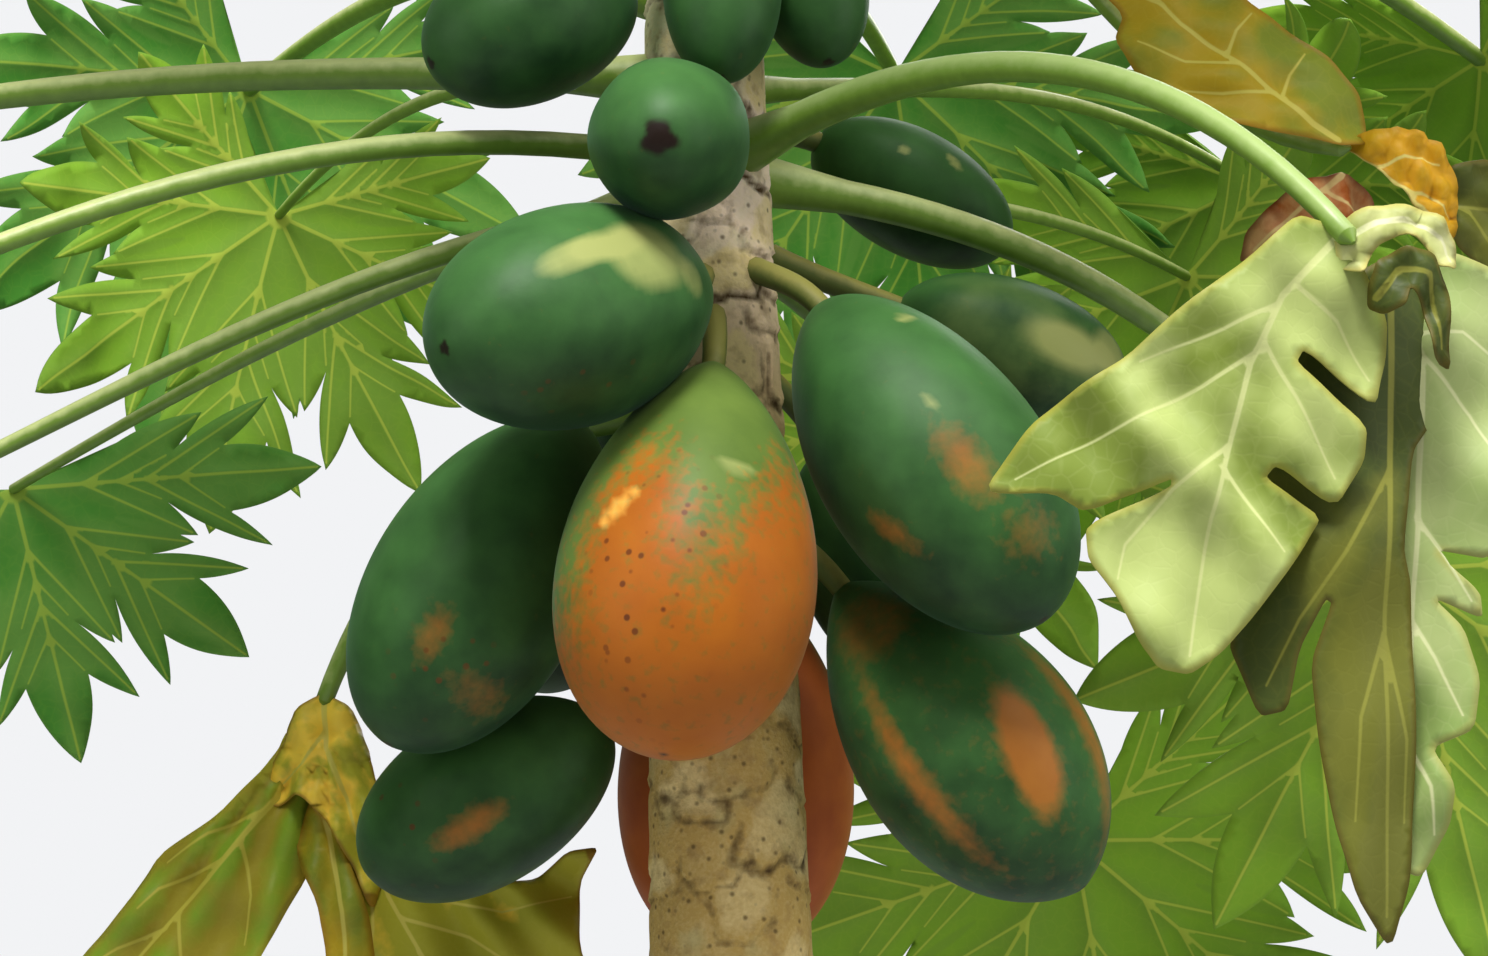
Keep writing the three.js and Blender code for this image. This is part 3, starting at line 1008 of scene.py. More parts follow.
def inside(points: np.ndarray, border: np.ndarray) -> np.ndarray:
    """Tells which points lie inside a closed outline.

    Args:
        points: Points of the plane.
        border: Corners of the outline.

    Returns:
        True for each point inside.
    """
    result = np.zeros(len(points), dtype=bool)
    for (ax, ay), (bx, by) in zip(border, np.roll(border, -1, axis=0)):
        crossing = (ay > points[:, 1]) != (by > points[:, 1])
        if crossing.any():
            at = ax + (points[crossing, 1] - ay) * (bx - ax) / (by - ay)
            result[crossing] ^= points[crossing, 0] < at
    return result


def line_gap(points: np.ndarray, starts: np.ndarray, ends: np.ndarray) -> np.ndarray:
    """Measures the distance from points to the nearest of some straight lines.

    Args:
        points: Points of the plane.
        starts: First end of each line.
        ends: Other end of each line.

    Returns:
        Distance of each point.
    """
    best = np.full(len(points), 1e9)
    for start, end in zip(starts, ends):
        chord = end - start
        share = np.clip((points - start) @ chord / max(float(chord @ chord), 1e-12), 0, 1)
        best = np.minimum(best, np.hypot(*(points - start - share[:, None] * chord).T))
    return best


def vein_gap(points: np.ndarray, veins: list) -> tuple[np.ndarray, np.ndarray]:
    """Measures the distance from points to the nearest vein's edge.

    Args:
        points: Points of the plane.
        veins: Lines of points, each with its half width at its foot and at its tip.

    Returns:
        Distance to the nearest vein's middle, and that vein's half width there.
    """
    best = np.full(len(points), 1e9)
    gap = np.full(len(points), 1e9)
    width = np.zeros(len(points))
    for line, foot, tip in veins:
        start, chord = line[0], line[-1] - line[0]
        share = np.clip((points - start) @ chord / float(chord @ chord), 0, 1)
        middle = np.hypot(*(points - start - share[:, None] * chord).T)
        half = foot + (tip - foot) * share
        closer = middle - half < best
        best[closer] = (middle - half)[closer]
        gap[closer] = middle[closer]
        width[closer] = half[closer]
    return gap, width


@dataclass
class LeafStalk:
    """A leaf's long stalk, from its swollen foot on the trunk to the blade's hub."""

    leaf: Leaf
    base_radius: float = 0.0105
    tip_radius: float = 0.0056
    foot_swelling: float = 1.5
    foot_length: float = 0.050
    foot_pull: float = 0.018
    neck_pull: float = 0.4
    end_share: float = 0.2
    sunk: float = 4 * MM
    start_pull: float = 0.42
    end_pull: float = 0.36

    def build(self) -> Piece:
        """Builds the stalk as a bevelled curve that is made a mesh.

        Returns:
            The stalk's object.
        """
        leaf = self.leaf
        start = STEM.axis(leaf.base) + heading(leaf.azimuth) * (STEM.radius(leaf.base) - self.sunk)
        hub = leaf.hub()
        length = (hub - start).length
        base_radius, tip_radius = self.base_radius * leaf.stalk, self.tip_radius * leaf.stalk
        away = heading(leaf.azimuth, leaf.rise)
        inward = heading(leaf.azimuth + 2 * leaf.turn, -leaf.fall)
        neck = start + away * self.foot_length
        tip = hub + inward * tip_radius
        near = away * self.foot_length * self.neck_pull
        round_end = inward * tip_radius / 3
        knots = (
            (start, start - near, start + away * self.foot_pull, base_radius * self.foot_swelling),
            (neck, neck - near, start + away * self.start_pull * length, base_radius),
            (hub, hub - inward * self.end_pull * length, hub + round_end, tip_radius),
            (tip, tip - round_end, tip + round_end, tip_radius * self.end_share),
        )
        return bent_stalk(f"stalk_{leaf.name}", knots, bevel=4, steps=24)


LEAVES = (
    Leaf("left_level", 180, 2.190, 0.700, 0.066, 2, 14, 0.290, (180, 48), (180, 42)),
    Leaf("left_front", 216, 2.140, 0.640, 0.214, -4, 30, 0.280, (199, 60), (199, 30), turn=-17,
         stalk=0.72),
    Leaf("left_low", 184, 2.116, 0.560, 0.228, -14, 24, 0.262, (187, 75), (187, 15), stalk=0.7),
    Leaf("left_back_low", 160, 2.126, 0.517, 0.144, -14, 18, 0.186, (30, 74), (100, 12), turn=-8,
         lobes=5, spread=203, bend=-16, rear=1.1, stalk=0.6),
    Leaf("left_high", 175, 2.240, 0.665, -0.028, 16, 16, 0.290, (175, 40), (175, 50), stalk=0.85),
    Leaf("back_left_high", 124.5, 2.255, 0.602, -0.065, 20, 10, 0.300, (140, 62), (120, 25)),
    Leaf("back_left", 127.7, 2.200, 0.499, -0.001, 12, 24, 0.236, (150, 72), (110, 15), stalk=0.6,
         tone=Tone.PAINTED_SUNLIT_GREEN),
    Leaf("right_front_wilting", 311.3, 2.142, 0.474, 0.129, 8, 48, 0.310, (270, 84), (285, 4),
         lobes=5, spread=150, bend=30, tone=Tone.WILTING, slot="leaf_wilting"),
    Leaf("right_golden", 14, 2.352, 0.375, 0.221, 16, 12, 0.195, (178, 12), (300, 8), turn=-24,
         bend=-24, tone=Tone.GOLDEN, slot="leaf_golden"),
    Leaf("back_right", 47.2, 2.190, 0.566, -0.038, 12, 12, 0.300, (40, 60), (40, 30), stalk=0.65,
         tone=Tone.PAINTED_SUNLIT_GREEN),
    Leaf("right_back", 60, 2.140, 0.520, -0.018, 6, 14, 0.285, (46, 70), (46, 20), turn=-10,
         stalk=0.65, tone=Tone.PAINTED_SUNLIT_GREEN),
    Leaf("right_low", 12, 2.130, 0.470, 0.210, -8, 44, 0.280, (10, 78), (76, 8), turn=10, bend=-16,
         tone=Tone.PAINTED_SUNLIT_GREEN),
    Leaf("back_right_low", 60.4, 2.090, 0.508, 0.326, -10, 55, 0.305, (30, 78), (80, 10), stalk=0.65,
         tone=Tone.PAINTED_SUNLIT_GREEN),
    Leaf("back_low", 88, 2.130, 0.434, 0.072, 2, 36, 0.255, (72, 76), (72, 14), turn=-15, stalk=0.65,
         tone=Tone.PAINTED_SUNLIT_GREEN),
    Leaf("back_high", 73.2, 2.260, 0.466, -0.057, 22, 14, 0.300, (73, 55), (73, 35)),
    Leaf("right_high", 29.3, 2.300, 0.606, 0.014, 20, 26, 0.290, (29, 50), (29, 40), tone=Tone.PAINTED_SUNLIT_GREEN),
    Leaf("left_dead", 149.8, 2.000, 0.280, 0.165, -8, 66, 0.285, (250, 86), (262, 2),
         lobes=5, spread=115, bend=30, tone=Tone.WITHERED, slot="leaf_dead"),
    Leaf("front_left_high", 236, 2.340, 0.400, -0.300, 40, -20, 0.275, (236, 16), (236, 74)),
    Leaf("front_right_high", 292, 2.370, 0.390, -0.290, 38, -24, 0.270, (292, 14), (292, 76)),
    Leaf("right_front_high", 344, 2.376, 0.480, -0.200, 42, 0, 0.280, (344, 26), (344, 64)),
    Leaf("back_top", 105, 2.385, 0.480, -0.170, 44, 4, 0.265, (105, 26), (105, 64)),
)


LIMP_SHEETS = {
    "right_front_wilting": (
        Sheet(Tone.WILTING,
              (-5, 7, -23, 12, -47, -10, -81, -35, -106, -57, -132, -74, -153, -90, -176, -122,
               -142, -124, -127, -133, -86, -117, -86, -121, -127, -139, -126, -156, -113, -173,
               -102, -196, -93, -208, -78, -211, -62, -200, -47, -183, -22, -150, -12, -134, -40, -116,
               -35, -110, -6, -130, 8, -108, 9, -91, -25, -61, -21, -54, 14, -82, 20, -58, 21, -38, 9, -14),
              ((-1, 3, -31, -28, -47, -61, -58, -103, -67, -136, -78, -202),
               (-43, -55, -70, -72, -110, -92, -160, -116), (-41, -50, -25, -78, -6, -116),
               (-57, -100, -85, -122, -108, -148, -112, -165), (-61, -112, -48, -130, -32, -152),
               (-25, -22, -4, -40, 12, -68), (-35, -33, -60, -45, -100, -60)),
              lean=0.10, curl=0.06,
              areas=((-82, -160, 62, 1.2), (-10, -30, 40, 0.8), (-135, -100, 55, -1.3),
                     (-70, -60, 34, -0.7), (-18, -85, 26, 0.5))),
        # Painted shade: this hook and the long sheet below it are dark lobes that hang in shadow behind the
        # pale one.
        Sheet(Tone.SHADED,
              (10, -24, 13, -13, 25, -7, 40, -9, 48, -24, 49, -66, 38, -60, 35, -36, 28, -27, 25, -36,
               17, -39, 10, -34),
              ((14, -30, 24, -17, 38, -20, 44, -55),),
              behind=-7, lean=0.0, curl=0.3,
              areas=((30, -30, 60, -1.4),)),
        Sheet(Tone.SHADED,
              (9, -13, 26, -3, 40, -9, 46, -31, 46, -85, 36, -99, 29, -147, 34, -166, 34, -253, 31, -306,
               20, -341, 2, -316, -8, -282, -14, -243, -17, -203, -7, -175, -10, -173, -22, -196,
               -28, -226, -42, -229, -56, -191, -38, -166, -46, -130, -44, -106, -20, -96, -34, -72,
               -30, -52, 4, -42),
              ((26, -8, 25, -90, 20, -176, 18, -325), (23, -110, 0, -150, -22, -182, -38, -214),
               (19, -190, 6, -230, 2, -280), (20, -190, 29, -240, 28, -280)),
              behind=24, lean=0.05, curl=0.16,
              areas=((20, -60, 80, -1.3), (14, -290, 110, 1.0), (-35, -190, 40, -0.6))),
        Sheet(Tone.SAGE,
              (26, -8, 55, 2, 85, -10, 104, -45, 109, -100, 94, -137, 72, -152, 46, -146, 68, -168,
               69, -181, 46, -170, 60, -185, 67, -210, 63, -235, 43, -243, 53, -262, 51, -281, 38, -306,
               22, -300, 18, -160, 20, -60),
              ((36, -4, 42, -60, 40, -130, 34, -200, 32, -298), (41, -50, 66, -80, 88, -120),
               (41, -40, 62, -40, 90, -60), (39, -130, 52, -150, 64, -172), (35, -180, 46, -200, 58, -228),
               (33, -240, 42, -262, 44, -285)),
              behind=40, lean=0.04, curl=0.10,
              areas=((80, -60, 60, 1.0), (50, -240, 80, -0.8))),
        Sheet(Tone.CREAM,
              (-6, 5, 6, 14, 26, 16, 46, 11, 56, -3, 52, -17, 43, -15, 37, -5, 26, 0, 14, -5, 6, -20,
               -4, -14),
              ((0, 0, 14, 6, 30, 8, 46, 0, 50, -12),),
              behind=-3, lean=-0.2, curl=0.25),
    ),
    "right_golden": (
        Sheet(Tone.OLIVE,
              (-58, 5, -84, 11, -116, 39, -129, 62, -122, 80, -140, 104, -152, 140, -164, 182, -128, 168,
               -92, 138, -66, 106, -48, 82, -21, 66, -4, 51, 10, 34, 15, 15, 14, 1, -4, -2, -30, 2),
              ((-4, 1, -19, 9, -55, 40, -91, 71, -120, 110, -150, 164), (-40, 28, -70, 26, -92, 28),
               (-60, 44, -90, 46, -116, 60), (-36, 24, -30, 40, -20, 54), (-66, 50, -60, 66, -50, 78),
               (-100, 84, -112, 90, -128, 104), (-105, 90, -96, 110, -84, 128)),
              behind=-30, lean=-0.35, curl=0.16,
              areas=((-60, 40, 50, 0.8), (-140, 120, 50, 1.0), (-20, 52, 36, -0.8))),
        Sheet(Tone.GOLDEN,
              (2, 2, 12, 8, 34, 8, 57, -1, 67, -19, 66, -48, 58, -58, 40, -37, 16, -11),
              ((3, -1, 20, -16, 40, -35, 60, -55), (18, -14, 36, -8, 54, -12), (32, -28, 50, -30, 62, -40)),
              behind=-12, lean=0.1, curl=0.3),
        Sheet(Tone.RUSTY,
              (-24, -20, 2, -14, 24, -23, 23, -40, -7, -44, -30, -58, -53, -58, -51, -42, -38, -29),
              ((0, -16, -20, -32, -46, -52), (-10, -24, 6, -34, 18, -36)),
              behind=-8, lean=0.3, curl=0.5),
        Sheet(Tone.SHADED,
              (62, -8, 90, -2, 104, -30, 126, -58, 116, -92, 92, -70, 66, -51, 62, -30),
              ((4, 0, 40, -12, 76, -34, 112, -82), (70, -30, 88, -30, 100, -40)),
              behind=16, lean=0.15, curl=0.2),
    ),
    "left_dead": (
        Sheet(Tone.WITHERED,
              (-24, -18, -36, -42, -66, -72, -102, -95, -118, -124, -148, -156, -166, -185, -180, -226,
               -184, -262, -148, -240, -108, -212, -71, -194, -44, -170, -22, -128, -8, -100, 8, -60,
               18, -22, 3, -2),
              ((-4, -6, -30, -60, -70, -110, -115, -160, -176, -250), (-36, -68, -70, -82, -96, -100),
               (-60, -98, -100, -116, -112, -128), (-50, -88, -44, -120, -48, -150),
               (-88, -130, -86, -160, -90, -190), (-96, -140, -126, -152, -142, -162)),
              behind=0, lean=0.06, curl=0.10, folds=5),
        Sheet(Tone.YELLOWED,
              (12, -3, 29, -37, 36, -80, 49, -112, 77, -110, 108, -112, 130, -110, 150, -93, 170, -90,
               157, -112, 158, -151, 171, -185, 156, -218, 133, -196, 109, -160, 110, -200, 106, -226,
               82, -262, 67, -218, 60, -168, 56, -190, 42, -232, 14, -262, 7, -206, 10, -148, 3, -111,
               5, -62, 3, -25),
              ((6, -8, 22, -70, 40, -120, 70, -170, 84, -250), (34, -104, 70, -122, 110, -130, 152, -120),
               (50, -134, 90, -145, 130, -170, 156, -208), (28, -90, 30, -140, 26, -190, 16, -250),
               (60, -155, 84, -180, 104, -214)),
              behind=4, lean=0.04, curl=0.08, folds=5,
              areas=((90, -150, 220, -1.3), (60, -210, 40, 0.5), (150, -150, 24, 0.5))),
        Sheet(Tone.YELLOWED,
              (-17, -5, 0, 4, 17, -5, 26, -28, 34, -60, 38, -104, 30, -130, 18, -100, 4, -76, -14, -58,
               -30, -66, -42, -58, -28, -31),
              ((0, -2, 2, -30, 14, -60, 28, -110), (0, -20, -12, -40, -30, -54)),
              behind=-6, lean=0.0, curl=0.35, folds=5,
              areas=((-14, -31, 15, 1.4), (-32, -54, 13, 1.4), (-3, -58, 11, 1.2), (12, -12, 9, 1.0),
                     (12, -40, 16, -0.8), (28, -96, 34, -1.2))),
        Sheet(Tone.OLIVE,
              (-8, -60, 10, -84, 28, -126, 36, -180, 22, -246, 2, -206, 4, -160, -2, -124, -18, -92),
              ((0, -66, 14, -130, 20, -236),),
              behind=-3, lean=0.02, curl=0.2, folds=3),
    ),
}


@dataclass(frozen=True)
class FruitSkin:
    """Papaya skin: thin, smooth and waxy, green with orange places as it ripens, and with painted sun
    flecks and highlights.

    It turns from a ripeness of turned_from times its mottle, over turned_over more.
    """

    name: str
    # The two greens are mixed by how far a face looks up: painted shade underneath, painted light on top.
    plain: str = "#19391a"
    light: str = "#4a7b3c"
    ripe: str = "#9a5a20"
    glow: str = "#b87a30"
    # The pale colours are painted sun flecks and highlights, on green skin and on ripe skin.
    pale: str = "#a8ae66"
    ripe_painted_light: str = "#f2b24c"
    speck: str = "#6a3410"
    scar: str = "#1e1008"
    bloom: str = "#9cc4b4"
    speck_gap: float = 11 * MM
    cloud: float = 28 * MM
    speckle: float = 6 * MM
    mottle: float = 0.5
    turned_from: float = 0.67
    turned_over: float = 0.65
    painted_top_light_upwards: float = 0.48
    roughness: float = 0.48

    def material(self) -> Material:
        """Makes the skin's material, which reads the attributes sky, ripe, pale, specks and scar.

        Returns:
            The material.
        """
        # A waxed skin with a thin bloom: highlights are soft and cool. The green is painted lighter
        # upwards and darker downwards, as painted top light and shade.
        read = "sky", "ripe", "pale", "specks", "scar"
        material, tree, place, (sky, ripe, pale, specks, scar) = new_material(self.name, *read)
        broad, fine = (
            add_node(tree, "TexNoise", {"Scale": 1 / size, "Detail": 4.0}, {"Vector": place})
            for size in (self.cloud, self.speckle)
        )
        cells = add_node(tree, "TexVoronoi", {"Scale": 1 / self.speck_gap}, {"Vector": place})
        low = self.turned_from * self.mottle
        high = low + self.turned_over
        turned = ragged_share(tree, ripe, fine, self.mottle, low, high)
        # Painted light: sun flecks and highlights, mixed from the pale colours.
        painted_light_share = ragged_share(tree, pale, broad, amount=0.5, low=0.42, high=1.45)
        # Painted top light and shade: faces that look up take the lighter green, faces that look down the
        # darker one, under a random cloud.
        upwards = {"operation": "MULTIPLY_ADD", 1: self.painted_top_light_upwards}
        bloom = add_node(tree, "Math", upwards, {0: sky, 2: broad})
        green, warm, painted_light_colour = (
            add_node(
                tree, "Mix", COLOURS | {UNDER: linear(under), OVER: linear(over)}, {SHARE: share}, MIXED
            )
            for under, over, share in (
                (self.plain, self.light, bloom),
                (self.ripe, self.glow, broad),
                (self.pale, self.ripe_painted_light, turned),
            )
        )
        colour = add_node(tree, "Mix", COLOURS, {SHARE: turned, UNDER: green, OVER: warm}, MIXED)
        colour = add_node(tree, "Mix", COLOURS, {SHARE: painted_light_share, UNDER: colour, OVER: painted_light_colour}, MIXED)
        dot_range = {"From Min": 0.13, "From Max": 0.21, "To Min": 1.0, "To Max": 0.0}
        dot = add_node(tree, "MapRange", dot_range, {"Value": cells})
        dotted = add_node(tree, "Math", {"operation": "MULTIPLY"}, {0: dot, 1: specks})
        for over, share in (self.speck, dotted), (self.scar, scar):
            over_colour = COLOURS | {OVER: linear(over)}
            colour = add_node(tree, "Mix", over_colour, {SHARE: share, UNDER: colour}, MIXED)
        shine = {"Roughness": self.roughness, "IOR": 1.44, "Specular IOR Level": 0.27}
        bloomed = {"Sheen Weight": 0.16, "Sheen Roughness": 0.4, "Sheen Tint": linear(self.bloom)}
        end_material(tree, colour, fine, {"Strength": 0.15, "Distance": 0.8 * MM}, shine | bloomed)
        return material


class Ripeness(Enum):
    """Skins of the fruit: green, ripe with a mottled olive top, and the redder overripe one behind."""

    PLAIN = FruitSkin("papaya_skin")
    MOTTLED = FruitSkin("ripe_papaya_skin", plain="#3c5822", light="#6c8436", ripe="#a35512",
                        glow="#be6e18", mottle=1.5)
    RED = FruitSkin("overripe_papaya_skin", ripe="#923c18", glow="#c66a2a")


class Mark(Enum):
    """What a patch of fruit skin does to the skin's colour."""

    RIPE = "ripe"
    # Painted light: sun flecks and highlights painted on the skin.
    PAINTED_LIGHT = "pale"
    SPECKS = "specks"


@dataclass(frozen=True)
class Patch:
    """A soft patch of skin: its middle, as a share of the fruit's length and an angle round it.

    The angle is 0 where the fruit faces the viewer and grows to the viewer's right. The length and
    width are half sizes, slant turns the patch, and edge is the share of it that fades.
    """

    mark: Mark
    share: float
    around: float
    length: float
    width: float
    strength: float = 1.0
    slant: float = 0.0
    edge: float = 0.6


@dataclass(frozen=True)
class Fruit:
    """Where one fruit hangs and its size, as in the frame, with the patches of its skin."""

    name: str
    azimuth: float
    attach: float
    out: float
    drop: float
    point: tuple[float, float]
    length: float
    width: float
    belly: float
    slot: str = "fruit_green"
    patches: tuple[Patch, ...] = ()
    ripeness: float = 0.0
    bluntness: float = 0.5
    scar: float = 4 * MM
    skin: Ripeness = Ripeness.PLAIN


# The pale patches are painted sun flecks and highlights.
FRUITS = (
    Fruit("top_left", 238, 2.275, 0.078, 0.046, (205, 28), 0.135, 0.094, 0.5),
    Fruit("top_middle", 287, 2.318, 0.057, 0.030, (266, 74), 0.130, 0.070, 0.52),
    Fruit("top_right", 347, 2.330, 0.057, 0.028, (304, 72), 0.122, 0.069, 0.52),
    Fruit("upper_front", 258, 2.148, 0.066, 0.012, (266, 14), 0.146, 0.091, 0.54, scar=10 * MM,
          patches=(Patch(Mark.PAINTED_LIGHT, 0.22, 30, 0.012, 0.016, slant=30),)),
    Fruit("upper_left", 262, 2.064, 0.076, 0.014, (225, 19), 0.192, 0.124, 0.52,
          patches=(Patch(Mark.PAINTED_LIGHT, 0.42, -6, 0.038, 0.030, edge=0.5),
                   Patch(Mark.PAINTED_LIGHT, 0.66, -16, 0.034, 0.013),
                   Patch(Mark.PAINTED_LIGHT, 0.54, -17, 0.036, 0.014, 0.45),
                   Patch(Mark.PAINTED_LIGHT, 0.26, 12, 0.014, 0.016, 0.8),
                   Patch(Mark.SPECKS, 0.7, 60, 0.05, 0.03, 0.35))),
    Fruit("upper_right", 38, 2.172, 0.084, 0.006, (19, 24), 0.138, 0.078, 0.5,
          patches=(Patch(Mark.PAINTED_LIGHT, 0.32, 21, 0.006, 0.005),
                   Patch(Mark.PAINTED_LIGHT, 0.55, 36, 0.010, 0.006, slant=40))),
    Fruit("front_ripe", 271, 2.040, 0.087, 0.037, (248, 73), 0.236, 0.146, 0.6, slot="fruit_ripe",
          ripeness=1.0, skin=Ripeness.MOTTLED, scar=1 * MM,
          patches=(Patch(Mark.RIPE, 0.0, 0, 0.135, 0.30, -1.3, edge=0.9),
                   Patch(Mark.RIPE, 0.44, 12, 0.110, 0.042, -0.62, slant=8, edge=1.0),
                   Patch(Mark.RIPE, 0.50, -70, 0.110, 0.050, -0.85, edge=0.9),
                   Patch(Mark.SPECKS, 0.58, -16, 0.070, 0.052, 0.9),
                   Patch(Mark.SPECKS, 0.85, -20, 0.040, 0.040, 0.6),
                   Patch(Mark.PAINTED_LIGHT, 0.51, -34, 0.021, 0.0060, 1.2, slant=45, edge=0.5),
                   Patch(Mark.PAINTED_LIGHT, 0.385, 20, 0.0060, 0.020, 0.9),
                   Patch(Mark.RIPE, 0.55, 120, 0.090, 0.040, -0.8))),
    Fruit("left", 192, 2.030, 0.079, 0.048, (196, 60), 0.220, 0.127, 0.54,
          patches=(Patch(Mark.RIPE, 0.74, -2, 0.026, 0.014, 0.42, edge=0.9),
                   Patch(Mark.RIPE, 0.80, 44, 0.020, 0.034, 0.30, edge=0.9),
                   Patch(Mark.SPECKS, 0.80, 20, 0.035, 0.045, 0.6))),
    Fruit("lower_left", 166, 1.838, 0.068, 0.030, (176, 30), 0.166, 0.104, 0.52,
          patches=(Patch(Mark.RIPE, 0.57, 16, 0.036, 0.014, 0.6, edge=0.9),
                   Patch(Mark.SPECKS, 0.8, -10, 0.03, 0.04, 0.7))),
    Fruit("right", 316, 2.070, 0.087, 0.029, (338, 55), 0.228, 0.130, 0.54,
          patches=(Patch(Mark.RIPE, 0.64, 6, 0.040, 0.020, 0.50, edge=0.9),
                   Patch(Mark.RIPE, 0.66, -48, 0.032, 0.012, 0.40, slant=-14, edge=0.9),
                   Patch(Mark.PAINTED_LIGHT, 0.22, 36, 0.006, 0.009), Patch(Mark.PAINTED_LIGHT, 0.47, 9, 0.008, 0.006, 0.8),
                   Patch(Mark.RIPE, 0.85, 20, 0.024, 0.030, 0.25, edge=0.9))),
    Fruit("right_behind", 10, 2.085, 0.112, 0.028, (6, 20), 0.146, 0.086, 0.52,
          patches=(Patch(Mark.PAINTED_LIGHT, 0.69, 10, 0.038, 0.018, 1.3, edge=0.8),
                   Patch(Mark.PAINTED_LIGHT, 0.86, 36, 0.016, 0.020, 0.9),
                   Patch(Mark.PAINTED_LIGHT, 0.45, 0, 0.075, 0.070, 0.32))),
    Fruit("lower_right", 357, 1.915, 0.070, 0.027, (352, 52), 0.224, 0.136, 0.56,
          slot="fruit_turning", ripeness=0.06, bluntness=0.6,
          patches=(Patch(Mark.RIPE, 0.54, -37, 0.092, 0.012, 0.62, slant=4, edge=0.9),
                   Patch(Mark.RIPE, 0.66, 18, 0.048, 0.019, 1.0, slant=14, edge=0.6),
                   Patch(Mark.RIPE, 0.68, 66, 0.090, 0.018, 0.55, edge=0.9),
                   Patch(Mark.RIPE, 0.16, -6, 0.026, 0.040, 0.3),
                   Patch(Mark.RIPE, 0.60, 170, 0.060, 0.016, 0.8))),
    Fruit("behind_ripe", 83, 1.960, 0.096, 0.056, (92, 74), 0.238, 0.148, 0.56, slot="fruit_red",
          ripeness=1.0, skin=Ripeness.RED,
          patches=(Patch(Mark.SPECKS, 0.6, 180, 0.08, 0.07, 0.7),)),
    Fruit("behind_upper", 108, 2.120, 0.078, 0.016, (106, 58), 0.158, 0.106, 0.52,
          patches=(Patch(Mark.PAINTED_LIGHT, 0.4, 170, 0.020, 0.010),)),
    Fruit("behind_left", 128, 2.010, 0.088, 0.034, (138, 58), 0.160, 0.100, 0.52,
          patches=(Patch(Mark.RIPE, 0.6, 150, 0.030, 0.012, 0.6),)),
    Fruit("behind_right", 44, 2.020, 0.092, 0.040, (40, 57), 0.164, 0.100, 0.52,
          patches=(Patch(Mark.RIPE, 0.65, 130, 0.036, 0.014, 0.8),)),
)


